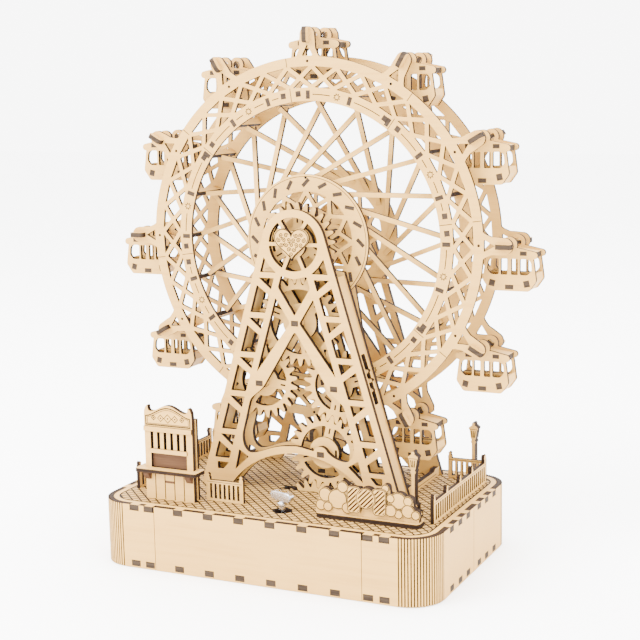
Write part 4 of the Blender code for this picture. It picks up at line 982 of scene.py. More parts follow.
@dataclass
class BaseBox(Assembly):
    """The box's walls: two straight panels, four bent corners and the floor."""

    panel_half: float = 59.85
    seam: float = 0.15
    tab: float = 5.2
    notch: float = 0.3
    grooves: int = 18
    groove_width: float = 0.65
    groove_depth: float = 0.8
    floor_low: float = 1.0
    foot_hole: float = 3.2
    foot_place: Point = (70.0, 42.0)

    def panel(self, front: bool) -> None:
        """Make one straight panel with notches for the deck and tabs of the floor.

        Args:
            front: whether it is the front one.
        """
        base = LAYOUT
        half, top = self.tab / 2 + self.notch, base.deck_top
        low = top - base.ply - self.notch
        notches = [point for x in reversed([x for x in base.tab_places() if abs(x) < self.panel_half])
                   for point in ((x + half, top), (x + half, low), (x - half, low), (x - half, top))]
        outline = [(-self.panel_half, 0), (self.panel_half, 0), (self.panel_half, top), *notches,
                   (-self.panel_half, top)]
        way = -1 if front else 1
        near = -base.half_depth if front else base.half_depth - base.ply
        work = Work()
        work.plate(outline, [], near, near + base.ply)
        for x in base.tab_places():
            if abs(x) < self.panel_half:
                self.floor_tab(work, x, way * base.half_depth, way)
        name = "front" if front else "back"
        self.show(work, f"{name}_panel", "tower", Slot.PLY, f"base_{name}_panel")

    def floor_tab(self, work: Work, place: float, at: float, way: int) -> None:
        """Show the end of one of the floor's tabs in a wall.

        Args:
            work: the piece's gathered faces.
            place: the tab's place along the wall.
            at: the depth of the surface.
            way: 1 if the surface looks along the depth, -1 if against it.
        """
        low, high = self.floor_low, self.floor_low + LAYOUT.ply
        half = self.tab / 2
        work.pad(block(place - half - self.seam, low - self.seam, place + half + self.seam, high + self.seam),
                 at, way, Finish.LINE, 0.03)
        work.pad(block(place - half, low, place + half, high), at, way, Finish.END, 0.07)

    def corner(self, sign_x: int, sign_y: int) -> None:
        """Make one bent corner with its row of grooves.

        Args:
            sign_x: 1 for the right side, -1 for the left one.
            sign_y: 1 for the back, -1 for the front.
        """
        base = LAYOUT
        centre = (base.half_width - base.corner, base.half_depth - base.corner)
        start_x, end_y = self.panel_half + 2 * self.seam, self.seam
        low = base.deck_top - base.ply - self.notch
        half = self.tab / 2 + self.notch
        work = Work(LYING)
        outer: Loop = [(base.half_width, end_y), (base.half_width, centre[1])]
        marks = [Finish.FACE, Finish.FACE]
        step = 90 / self.grooves
        turn = math.degrees(self.groove_width / 2 / base.corner)
        deep = base.corner - self.groove_depth
        for index in range(self.grooves):
            middle = (index + 0.5) * step
            outer += [polar(base.corner, middle - turn, centre), polar(deep, middle - turn, centre),
                      polar(deep, middle + turn, centre), polar(base.corner, middle + turn, centre)]
            marks += [Finish.LINE, Finish.LINE, Finish.LINE, Finish.FACE]
        outer += [(centre[0], base.half_depth), (start_x, base.half_depth),
                  (start_x, base.half_depth - base.ply)]
        marks += [Finish.FACE, Finish.EDGE, Finish.FACE]
        bend = arc(base.corner - base.ply, 90, 0, 12, centre)
        outer += bend + [(base.half_width - base.ply, end_y)]
        marks += [Finish.FACE] * len(bend) + [Finish.EDGE]
        first = 2
        last = first + 4 * self.grooves
        work.plate(self.signed(outer, sign_x, sign_y), [], 0, low + 0.05, Finish.EDGE, Finish.EDGE,
                   edges=marks)
        bend_start = max(base.side_places()) + half
        bend_end = max(base.tab_places()) + half
        top_loop = [(base.half_width, bend_start), *outer[1:last], (centre[0], base.half_depth),
                    (bend_end, base.half_depth), (bend_end, base.half_depth - base.ply), *bend,
                    (base.half_width - base.ply, bend_start)]
        top_marks = [Finish.FACE] + marks[1:last] + [Finish.FACE, Finish.EDGE, Finish.FACE]
        top_marks += [Finish.FACE] * len(bend) + [Finish.EDGE]
        work.plate(self.signed(top_loop, sign_x, sign_y), [], low, base.deck_top, Finish.EDGE, Finish.EDGE,
                   edges=top_marks)
        for loop in self.short_walls(half, end_y):
            work.plate(self.signed(loop, sign_x, sign_y), [], low, base.deck_top, Finish.EDGE, Finish.EDGE,
                       edges=[Finish.FACE, Finish.EDGE, Finish.FACE, Finish.EDGE])
        self.corner_tabs(work, sign_x, sign_y)

    def signed(self, loop: Loop, sign_x: int, sign_y: int) -> Loop:
        """Put a loop of the first quadrant into another one."""
        return [(sign_x * x, sign_y * y) for x, y in loop]

    def short_walls(self, half: float, end_y: float) -> list[Loop]:
        """Return the low walls that stand between the notches of the first quadrant.

        Args:
            half: half of a notch's width.
            end_y: where the wall begins at the side.

        Returns:
            The walls' outlines.
        """
        base = LAYOUT
        out = []
        places = [place for place in base.side_places() if place > 0]
        edges = [end_y, *[edge for place in places for edge in (place - half, place + half)]]
        for low, high in zip(edges[::2], edges[1::2]):
            out.append([(base.half_width, low), (base.half_width, high), (base.half_width - base.ply, high),
                        (base.half_width - base.ply, low)][::-1])
        first, second = base.tab_places()[-2:]
        out.append(block(first + half, base.half_depth - base.ply, second - half, base.half_depth))
        return out

    def corner_tabs(self, work: Work, sign_x: int, sign_y: int) -> None:
        """Show the floor's tabs in a corner wall and finish the wall.

        Args:
            work: the piece's gathered faces.
            sign_x: 1 for the right side, -1 for the left one.
            sign_y: 1 for the back, -1 for the front.
        """
        base = LAYOUT
        places = [place for place in base.tab_places() if place > self.panel_half]
        work.plane = STANDING
        for x in places:
            self.floor_tab(work, sign_x * x, sign_y * base.half_depth, sign_y)
        work.plane = SIDEWAYS
        for y in base.side_places():
            if y > 0:
                self.floor_tab(work, sign_y * y, sign_x * base.half_width, sign_x)
        side = "right" if sign_x > 0 else "left"
        depth = "front" if sign_y < 0 else "back"
        where = f"{depth}_{side}"
        self.show(work, f"bent_wall_{where}", "tower", Slot.PLY, f"base_corner_{where}")

    def floor(self) -> None:
        """Make the floor sheet with its row of tabs hidden in the walls."""
        base = LAYOUT
        work = Work(LYING)
        feet = [ring(self.foot_hole, 16, (sign_x * self.foot_place[0], sign_y * self.foot_place[1]))
                for sign_x in (-1, 1) for sign_y in (-1, 1)]
        work.plate(base.rounded_edge(base.ply + base.gap), feet, self.floor_low, self.floor_low + base.ply)
        self.show(work, "floor_sheet", "tower", Slot.PLY, "base_bottom")

    def build(self) -> None:
        """Make the whole box."""
        self.panel(True)
        self.panel(False)
        for sign_x in (-1, 1):
            for sign_y in (-1, 1):
                self.corner(sign_x, sign_y)
        self.floor()


@dataclass
class Deck(Assembly):
    """The deck: a tabbed sheet with a plain border around engraved stones."""

    tab: float = 5.2
    border: float = 7.0
    pitch: float = 4.0
    joint: float = 0.9
    relief: float = 0.15
    smallest: float = 0.4
    overlap: float = 0.02
    key: Point = (6.4, -42.3)
    key_hole: float = 4.3
    slot: tuple[float, float, float, float] = (-11.2, -5.4, 23.3, -0.6)

    def outline(self) -> Loop:
        """Return the deck's edge with its tabs.

        Returns:
            The points in order.
        """
        base = LAYOUT
        inner, half = base.ply + base.gap, self.tab / 2
        edge, face = base.half_depth - inner, base.half_depth
        side, outer = base.half_width - inner, base.half_width
        right = [point for y in base.side_places()
                 for point in ((side, y - half), (outer, y - half), (outer, y + half), (side, y + half))]
        back = [point for x in reversed(base.tab_places())
                for point in ((x + half, edge), (x + half, face), (x - half, face), (x - half, edge))]
        bends = base.bends(inner, 8)
        left = [(-x, -y) for x, y in right]
        front = [(-x, -y) for x, y in back]
        return right + bends[0] + back + bends[1] + left + bends[2] + front + bends[3]

    def stone(self, centre: Point, edge: Loop) -> Loop:
        """Return one stone, cut to the border, the slot and the key hole.

        Args:
            centre: the stone's middle.
            edge: the border's inner edge.

        Returns:
            The outline, empty if nothing is left.
        """
        size = self.pitch - self.joint
        loop = trimmed(slab(centre, size, size, 45), edge)
        left, low, right, high = self.slot
        margin = self.joint
        if any(left - margin < x < right + margin and low - margin < y < high + margin for x, y in loop):
            cuts = [clipped(loop, (left - margin, 0), (-1, 0)), clipped(loop, (right + margin, 0), (1, 0)),
                    clipped(loop, (0, low - margin), (0, -1)), clipped(loop, (0, high + margin), (0, 1))]
            loop = max(cuts, key=lambda cut: abs(area(cut)) if len(cut) > 2 else 0)
        away = Vector(centre) - Vector(self.key)
        if away.length < self.key_hole + self.pitch and away.length > 0.1:
            way = away.normalized()
            touch = Vector(self.key) + way * (self.key_hole + margin)
            loop = clipped(loop, tuple(touch), tuple(way))
        return loop if len(loop) > 2 and abs(area(loop)) > self.smallest else []

    def stones(self) -> list[Loop]:
        """Return all the stones inside the border.

        Returns:
            The stones' outlines.
        """
        edge = LAYOUT.rounded_edge(self.border)
        reach = int((LAYOUT.half_width + LAYOUT.half_depth) / self.pitch)
        out = []
        for row in range(-reach, reach + 1):
            for column in range(-reach, reach + 1):
                centre = spun([(column * self.pitch, row * self.pitch)], 45)[0]
                if abs(centre[0]) < LAYOUT.half_width and abs(centre[1]) < LAYOUT.half_depth:
                    loop = self.stone(centre, edge)
                    if loop:
                        out.append(loop)
        return out

    def build(self) -> None:
        """Make the sheet, its border, the stones and the tab ends."""
        base = LAYOUT
        top, floor = base.deck_top, base.deck_top - self.relief
        left, low, right, high = self.slot
        holes = [block(left, low, right, high), ring(self.key_hole, 24, self.key)]
        work = Work(LYING)
        work.plate(self.outline(), holes, top - base.ply, floor, Finish.FACE, Finish.JOINT)
        work.plate(self.outline(), [base.rounded_edge(self.border - self.joint)], floor - self.overlap, top)
        for x in base.tab_places():
            work.plane = STANDING
            for way in (-1, 1):
                self.tab_end(work, x, way * base.half_depth, way)
        for y in base.side_places():
            work.plane = SIDEWAYS
            for way in (-1, 1):
                self.tab_end(work, y, way * base.half_width, way)
        self.show(work, "deck_sheet", "tower", Slot.PLY, "base_deck")
        paving = Work(LYING)
        for stone in self.stones():
            paving.plate(stone, [], floor - self.overlap, top, Finish.COBBLE, Finish.COBBLE, Finish.JOINT)
        self.show(paving, "deck_paving", "tower", Slot.COBBLED)

    def tab_end(self, work: Work, place: float, at: float, way: int) -> None:
        """Show one tab's burnt end."""
        half, low = self.tab / 2, LAYOUT.deck_top - LAYOUT.ply
        work.pad(block(place - half, low, place + half, LAYOUT.deck_top - self.overlap), at, way)


# Tower and gears

@dataclass
class GearPlan:
    """Where the gears sit and how their teeth point."""

    module: float = 1.6
    teeth: dict[str, int] = field(
        default_factory=lambda: {"A": 25, "B": 28, "C": 23, "D": 23, "E": 24, "F": 20})
    to_right: float = -56.9
    to_lower: float = -103.0
    to_drum: float = -102.8

    def radius(self, letter: str) -> float:
        """Return a gear's pitch radius."""
        return self.module * self.teeth[letter] / 2

    def centres(self) -> dict[str, Point]:
        """Return every gear's centre.

        Returns:
            The centre for each letter.
        """
        top = (0.0, LAYOUT.axle_z)
        second = (0.0, top[1] - self.radius("A") - self.radius("B"))
        right = polar(self.radius("B") + self.radius("D"), self.to_right, second)
        left = polar(self.radius("B") + self.radius("C"), 180 - self.to_right, second)
        lower = polar(self.radius("D") + self.radius("E"), self.to_lower, right)
        drum = polar(self.radius("E") + self.radius("F"), self.to_drum, lower)
        return {"A": top, "B": second, "C": left, "D": right, "E": lower, "F": drum}

    def phases(self) -> dict[str, float]:
        """Return every gear's turn, so that the teeth mesh.

        Returns:
            The angle of a tooth for each letter.
        """
        centres, phases = self.centres(), {"A": 90.0}
        for first, second in (("A", "B"), ("B", "C"), ("B", "D"), ("D", "E"), ("E", "F")):
            here, there = centres[first], centres[second]
            heading = math.degrees(math.atan2(there[1] - here[1], there[0] - here[0]))
            place = (heading - phases[first]) * self.teeth[first] / 360
            phases[second] = heading + 180 - (360 / self.teeth[second]) * (0.5 - place)
        return phases


@dataclass
class GearTrain(Assembly):
    """The wooden gears with their finger teeth and wide spokes."""

    plan: GearPlan = field(default_factory=GearPlan)
    thickness: float = 3.0
    root: float = 2.3
    flank: tuple[Point, ...] = ((-2.0, 1.85), (-1.2, 1.5), (0.0, 1.15), (1.1, 0.85), (1.7, 0.5), (1.9, 0.15))
    bore: float = 3.3
    rim: float = 4.6
    hub_share: float = 0.45
    spoke_half: float = 2.6
    spoke_line: float = 0.9
    line_share: float = 0.55
    line_gap: float = 0.8
    axle_tab: Point = (4.0, 2.8)
    washer: float = 8.6
    washer_high: float = 1.2
    washer_slot: Point = (1.2, 4.0)
    washer_slot_out: float = 7.0

    def toothed(self, letter: str) -> Loop:
        """Return a gear's outline of finger teeth with rounded gaps.

        Args:
            letter: the gear's letter in the plan.

        Returns:
            The points in order.
        """
        centre, radius = self.plan.centres()[letter], self.plan.radius(letter)
        phase, step = self.plan.phases()[letter], 360 / self.plan.teeth[letter]
        loop = []
        for index in range(self.plan.teeth[letter]):
            middle = phase + index * step
            sides = [(radius - self.root, step / 2)]
            sides += [(radius + up, math.degrees(half / radius)) for up, half in self.flank]
            loop += [polar(place, middle - turn, centre) for place, turn in sides]
            loop += [polar(place, middle + turn, centre) for place, turn in reversed(sides[1:])]
        return loop

    def windows(self, letter: str) -> list[Loop]:
        """Return the three windows between a gear's wide spokes.

        Args:
            letter: the gear's letter in the plan.

        Returns:
            One loop for each opening.
        """
        centre, radius = self.plan.centres()[letter], self.plan.radius(letter)
        outer, inner = radius - self.rim, radius * self.hub_share
        outer_turn = math.degrees(math.asin(self.spoke_half / outer))
        inner_turn = math.degrees(math.asin(self.spoke_half / inner))
        out = []
        for index in range(3):
            start = self.plan.phases()[letter] + index * 120
            rim = arc(outer, start + outer_turn, start + 120 - outer_turn, 14, centre)
            hub = arc(inner, start + 120 - inner_turn, start + inner_turn, 8, centre)
            out.append(rounded(rim + hub, 1.0, 2))
        return out

    def gear(self, letter: str, name: str, body: str) -> None:
        """Make one gear with its dressing.

        Args:
            letter: the gear's letter in the plan.
            name: the piece's name.
            body: the body that it moves with.
        """
        base = LAYOUT
        centre = self.plan.centres()[letter]
        near, far = base.gear_front, base.gear_front + self.thickness
        work = Work()
        work.plate(self.toothed(letter), [*self.windows(letter), ring(self.bore, 24, centre)], near, far)
        radius, phase = self.plan.radius(letter), self.plan.phases()[letter]
        for index in range(3):
            spoke = phase + index * 120
            inner, outer = radius * self.line_share, radius - self.rim - self.line_gap
            ends = [polar(inner, spoke, centre), polar(outer, spoke, centre)]
            work.line(ends, self.spoke_line, near, -1)
        if letter == "E":
            top = near - self.washer_high
            work.plate(ring(self.washer, 48, centre), [ring(self.bore, 24, centre)], top, near)
            for side in (-1, 1):
                spot = (centre[0] + side * self.washer_slot_out, centre[1])
                work.pad(slab(spot, *self.washer_slot), top, -1, Finish.LINE)
        self.show(work, name, body, Slot.GEAR, name)

    def axle(self, letter: str, name: str) -> None:
        """Make one fixed axle: a round core with a burnt tab at each end.

        Args:
            letter: the gear's letter in the plan.
            name: the piece's name.
        """
        base, centre = LAYOUT, self.plan.centres()[letter]
        work = Work()
        start, end = base.tower_front + base.ply + base.gap, base.tower_inner - base.gap
        work.plate(ring(base.axle_radius, 24, centre), [], start, end, Finish.EDGE, Finish.EDGE, Finish.FACE)
        tab = slab(centre, *self.axle_tab)
        proud = 0.05
        for low, high in ((base.tower_front - proud, start + SUNK),
                          (end - SUNK, base.tower_inner + base.ply + proud)):
            work.plain(tab, [], low, high, Finish.END)
        self.show(work, name, "tower", Slot.BURNT, name)

    def build(self) -> None:
        """Make all six gears and the four fixed axles."""
        for letter, name, body in (("A", "gear_wheel", "wheel"), ("B", "gear_upper", "upper_gear"),
                                   ("C", "gear_left", "left_gear"), ("D", "gear_right", "right_gear"),
                                   ("E", "gear_lower", "lower_gear"), ("F", "gear_drum", "cylinder")):
            self.gear(letter, name, body)
        for letter, place in (("B", "upper"), ("C", "left"), ("D", "right"), ("E", "lower")):
            self.axle(letter, f"gear_axle_{place}")


@dataclass
class Tower(Assembly):
    """The towers: two gear plates, the rear plate, side boards and foot rails."""

    gears: GearPlan = field(default_factory=GearPlan)
    foot_half: float = 60.0
    rise: float = 136.0
    head: float = 18.6
    small_head: float = 14.0
    head_window: float = 14.4
    head_centre: float = 7.2
    head_bar: float = 1.9
    bars: tuple[float, ...] = (0, 57, 123, 180, 246, 294)
    rail: float = 3.9
    inner_rail: float = 3.6
    ladder: float = 16.8
    rung: float = 3.0
    pitch: float = 22.1
    top_rung: float = 119.1
    ladder_foot: float = 14.0
    shoulder_rise: float = 8.2
    strut_high: float = 6.3
    strut_low: float = 9.6
    strut_side: float = 4.0
    truss: float = 4.4
    truss_top: float = 110.0
    arch_half: float = 42.0
    arch_crown: float = 22.0
    arch_band: float = 4.1
    foot_window: tuple[Point, ...] = ((13.1, 6.3), (13.1, 13.6), (9.1, 11.2), (9.1, 7.5))
    arch_window: tuple[Point, ...] = ((21.3, 17.7), (29.9, 17.5), (32.8, 14.9), (9.6, 18.5))
    yard_drops: Point = (2.2, 9.0)
    yard_leg: Point = (29.0, 17.5)
    yard_foot: tuple[Point, ...] = ((32.9, 23.3), (29.8, 19.9), (25.5, 20.3))
    yard_shares: tuple[float, ...] = (0.3, 0.34, 0.38, 0.42)
    bump: float = 4.4
    tab_slot: Point = (4.3, 3.1)
    rail_line: Point = (4.0, 1.6)
    board_low: Point = (4.0, 0.6)
    board_high: float = 119.0
    tooth_tip: float = 1.95
    tooth_room: float = 0.5
    slot_room: float = 0.9
    rail_place: float = 57.0
    rail_high: float = 5.0
    rail_waist: float = 3.6
    rail_steps: Point = (6.0, 8.0)

    @property
    def slope(self) -> float:
        """How far a leg leans inwards for each millimetre of height.

        Returns:
            The lean as a share of the height.
        """
        reach = math.hypot(self.foot_half, self.rise)
        heading = math.atan2(self.rise, -self.foot_half) - math.asin(self.head / reach)
        return -1 / math.tan(heading)

    def leg(self, height: float, inwards: float = 0.0) -> Point:
        """Return a point on the right leg at a height above the deck."""
        return (self.foot_half - height * self.slope - inwards, LAYOUT.deck_top + height)

    def arch(self, offset: float, share: float) -> Point:
        """Return a point on the arch, from its right foot to its left one.

        Args:
            offset: the distance outside the inner edge.
            share: the part of the way from the right foot to the left one.

        Returns:
            The point in the drawing.
        """
        half, rise = self.arch_half + offset, self.arch_crown + offset
        radius = (half ** 2 + rise ** 2) / (2 * rise)
        spread = math.degrees(math.asin(half / radius))
        return polar(radius, 90 - spread + 2 * spread * share, (0, LAYOUT.deck_top + rise - radius))

    def outline(self, head: float) -> Loop:
        """Return a plate's outer edge with the arch between its feet.

        Args:
            head: the round head's radius.

        Returns:
            The points in order.
        """
        base = LAYOUT
        right = [(self.arch_half, base.deck_top), (self.foot_half, base.deck_top)]
        if head < self.head:
            shoulder = self.leg(self.top_rung + self.rung / 2)
            right.append(shoulder)
            start = math.degrees(math.asin((shoulder[1] + self.rung - base.axle_z) / head))
        else:
            start = math.degrees(math.atan(self.slope))
        top = arc(head, start, 180 - start, 40, (0, base.axle_z))
        left = mirrored(right)
        return right + top + left + [self.arch(0, 1 - step / 32) for step in range(1, 32)]

    def ladder_holes(self, braced: bool) -> list[Loop]:
        """Return the openings between the rungs and at the feet of both legs.

        Args:
            braced: whether struts cross the openings.

        Returns:
            One loop for each opening.
        """
        heights = [self.top_rung - self.pitch * index for index in range(5)]
        bays = list(zip(heights, heights[1:])) + [(heights[-1], self.ladder_foot)]
        outer, inner, half = self.rail, self.ladder - self.inner_rail, self.rung / 2
        holes = []
        for top, bottom in bays:
            top, bottom = top - half, bottom + half
            if braced and top - bottom > self.strut_low + half:
                holes.append([self.leg(top, outer), self.leg(top, inner),
                              self.leg(top - self.strut_high, inner)])
                holes.append([self.leg(top - self.strut_side, outer), self.leg(top - self.strut_low, inner),
                              self.leg(bottom, inner), self.leg(bottom, outer)])
            else:
                holes.append([self.leg(top, outer), self.leg(top, inner), self.leg(bottom, inner),
                              self.leg(bottom, outer)])
        holes.append([self.leg(*corner) for corner in self.foot_window])
        top, *corners, low = self.arch_window
        holes.append([self.leg(*top), *moved(corners, 0, LAYOUT.deck_top), self.leg(*low)])
        shaped = [rounded(hole, 0.5, 2) for hole in holes]
        return shaped + [mirrored(hole) for hole in shaped]

    def truss_holes(self) -> list[Loop]:
        """Return the openings around the cross of the tower.

        Returns:
            One loop for each opening.
        """
        centres = self.gears.centres()
        hub, right = centres["B"], centres["D"]
        width = self.truss / 2
        top, high = self.leg(self.truss_top, self.ladder), self.leg(self.top_rung, self.ladder)
        crown = [hub, top, high, (0, LAYOUT.axle_z - self.head), (-high[0], high[1]), (-top[0], top[1])]
        upper = inset(crown, (width, 0, 0, 0, 0, width))
        low = self.leg(right[1] - LAYOUT.deck_top, self.ladder)
        side = inset([hub, low, top], (width, 0, width))
        return [rounded(upper, 0.8), rounded(side, 1.0), mirrored(rounded(side, 1.0))]

    def yard_hole(self) -> Loop:
        """Return the large opening between the cross and the arch.

        Returns:
            The opening's loop.
        """
        centres = self.gears.centres()
        hub, right, lower = centres["B"], centres["D"], centres["E"]
        run = Vector((right[0] - hub[0], right[1] - hub[1])).normalized()
        drop = self.truss / 2 / run.x
        first, second = self.yard_drops
        side = [(0, hub[1] - drop), (right[0] - drop * run.x, right[1] - first),
                self.leg(right[1] - LAYOUT.deck_top - second, self.ladder),
                self.leg(*self.yard_leg), *moved(list(self.yard_foot), 0, LAYOUT.deck_top)]
        band = [self.arch(self.arch_band, share) for share in self.yard_shares]
        bump = arc(self.bump, 20, 160, 8, lower)
        left = mirrored(side[1:] + band)
        plain = [point for point in band if point[0] > bump[0][0] + 0.5]
        return rounded(side + plain + bump + [self.arch(self.arch_band, 0.5)] + left, 2.4, 4)

    def head_windows(self) -> list[Loop]:
        """Return the windows between the bars of the round head.

        Returns:
            One loop for each opening.
        """
        centre, out = (0, LAYOUT.axle_z), []
        for start, end in zip(self.bars, [*self.bars[1:], self.bars[0] + 360]):
            outer = math.degrees(math.asin(self.head_bar / 2 / self.head_window))
            inner = math.degrees(math.asin(self.head_bar / 2 / self.head_centre))
            rim = arc(self.head_window, start + outer, end - outer, 12, centre)
            hub = arc(self.head_centre, end - inner, start + inner, 8, centre)
            out.append(rounded(rim + hub, 0.5, 2))
        return out

    def shoulder(self) -> list[Loop]:
        """Return the small openings beside the head.

        Returns:
            One loop for each opening.
        """
        base = self.top_rung + self.rung / 2
        outer, tip = self.leg(base, self.rail), self.leg(base + self.shoulder_rise, self.rail)
        start = math.degrees(math.asin((outer[1] - LAYOUT.axle_z) / self.head))
        end = math.degrees(math.asin((outer[1] + self.shoulder_rise - LAYOUT.axle_z) / self.head))
        rise = [polar(self.head, start + (end - start) * share, (0, LAYOUT.axle_z)) for share in (0.5, 0.0)]
        hole = rounded([outer, tip, *rise], 0.4, 2)
        return [hole, mirrored(hole)]

    def axle_slots(self) -> list[Loop]:
        """Return the slots that take the fixed axles' tabs."""
        return [slab(self.gears.centres()[letter], *self.tab_slot) for letter in "BCDE"]

    def plates(self) -> None:
        """Make the three upright plates."""
        base = LAYOUT
        bore = ring(base.axle_radius + base.gap, 32, (0, base.axle_z))
        shared = self.truss_holes() + [self.yard_hole()]
        sets = (("front", base.tower_front, self.head,
                 self.ladder_holes(True) + self.axle_slots() + self.shoulder() + self.head_windows()),
                ("inner", base.tower_inner, self.small_head, self.ladder_holes(False) + self.axle_slots()),
                ("rear", base.tower_rear, self.head, self.ladder_holes(True) + self.shoulder()))
        for place, near, head, holes in sets:
            work = Work()
            work.plate(self.outline(head), shared + holes + [bore], near, near + base.ply)
            self.show(work, f"{place}_tower_plate", "tower", Slot.PLY, f"tower_{place}_plate")

    def side_board(self, sign: int) -> None:
        """Make the board along a leg, slotted for the gear that reaches through it.

        Args:
            sign: 1 for the right leg, -1 for the left one.
        """
        base = LAYOUT
        lean = math.atan(self.slope)
        letter, side = ("D", "right") if sign > 0 else ("C", "left")
        gear = self.gears.centres()[letter]
        start = self.leg(*self.board_low)
        up, out = (-math.sin(lean), math.cos(lean)), (math.cos(lean), math.sin(lean))
        length = (self.board_high - self.board_low[0]) / math.cos(lean)
        offset = (abs(gear[0]) - start[0], gear[1] - start[1])
        along = offset[0] * up[0] + offset[1] * up[1]
        away = -(offset[0] * out[0] + offset[1] * out[1]) - base.ply
        reach = self.gears.radius(letter) + self.tooth_tip + self.tooth_room
        half = math.sqrt(reach ** 2 - away ** 2)
        near, far = base.tower_front + base.ply + base.gap, base.tower_inner - base.gap
        plane = Plane((sign * up[0], 0, up[1]), (0, 1, 0), (sign * out[0], 0, out[1]),
                      (sign * start[0], 0, start[1]))
        work = Work(plane)
        slot = block(along - half, base.gear_front - self.slot_room,
                     along + half, base.gear_front + base.ply + self.slot_room)
        work.plate(block(0, near, length, far), [rounded(slot, 0.8)], -base.ply, 0)
        self.show(work, f"side_board_{side}", "tower", Slot.PLY, f"tower_side_{side}")

    def foot_rails(self) -> None:
        """Make the planks that join the towers' feet."""
        base = LAYOUT
        near, far = base.tower_inner + base.ply + base.gap, base.tower_rear - base.gap
        low = base.deck_top
        first, second = self.rail_steps
        for side, sign in (("right", 1), ("left", -1)):
            work = Work(SIDEWAYS)
            middle = sign * self.rail_place
            high, waist = low + self.rail_high, low + self.rail_waist
            outline = [(near, low), (far, low), (far, high), (far - first, high), (far - second, waist),
                       (near + second, waist), (near + first, high), (near, high)]
            work.plate(rounded(outline, 0.6, 2), [], middle - base.ply / 2, middle + base.ply / 2)
            inwards, up = self.rail_line
            for way in (-1, 1):
                work.line([(near + inwards, low + up), (far - inwards, low + up)], THIN_LINE,
                          middle + way * base.ply / 2, way)
            self.show(work, f"foot_plank_{side}", "tower", Slot.COBBLED, f"foot_rail_{side}")

    def build(self) -> None:
        """Make both towers."""
        self.plates()
        self.side_board(1)
        self.side_board(-1)
        self.foot_rails()


@dataclass
class Heart(Assembly):
    """The heart in front of the axle, engraved with curls."""

    width: float = 20.5
    height: float = 17.3
    thickness: float = 1.7
    waves: tuple[float, ...] = (13 / 29, -5 / 29, -2 / 29, -1 / 29)
    lift: float = 0.09
    border: float = 0.5
    border_share: float = 0.95
    field_share: float = 0.8
    row_share: float = 0.87
    pitch: float = 2.9
    curl_size: float = 1.35
    curl_width: float = 0.42
    column_turn: float = 67.0
    row_turn: float = 131.0

    def outline(self, scale: float = 1.0, steps: int = 64) -> Loop:
        """Return the heart's edge, larger or smaller about its middle.

        Args:
            scale: its size as a share of the whole heart.
            steps: how many points it has.

        Returns:
            The points in order.
        """
        loop = []
        for step in range(steps):
            turn = 2 * math.pi * step / steps
            up = self.lift + sum(share * math.cos((order + 1) * turn)
                                 for order, share in enumerate(self.waves))
            across = math.sin(turn) ** 3 * self.width / 2
            loop.append((scale * across, LAYOUT.axle_z + scale * up * self.height))
        return loop

    def curl(self, centre: Point, size: float, start: float, way: int) -> Loop:
        """Return a spiral of a turn and a half that opens from its centre.

        Args:
            centre: the spiral's middle.
            size: the spiral's outer radius.
            start: the angle it starts at.
            way: 1 to turn anticlockwise, -1 to turn clockwise.

        Returns:
            The points in order.
        """
        steps = 14
        return [polar(size * (0.1 + 0.9 * step / steps), start + way * 540 * step / steps, centre)
                for step in range(steps + 1)]

    def build(self) -> None:
        """Make the heart, its border line and its dense dark curls."""
        far = LAYOUT.tower_front - LAYOUT.gap
        near = far - self.thickness
        work = Work()
        work.plate(self.outline(), [], near, far)
        work.line(self.outline(self.border_share), self.border, near, -1, True)
        field_edge = self.outline(self.field_share)
        for row in range(-4, 5):
            for column in range(-5, 6):
                height = LAYOUT.axle_z + self.pitch * self.row_share * row
                spot = (self.pitch * (column + 0.5 * (row % 2)), height)
                if holds(field_edge, spot):
                    turn = self.column_turn * column + self.row_turn * row
                    curl = self.curl(spot, self.curl_size, turn, 1 - 2 * (column % 2))
                    work.line(curl, self.curl_width, near, -1)
        self.show(work, "scrolled_heart", "tower", Slot.BURNT, "heart_plaque")


# Wheel

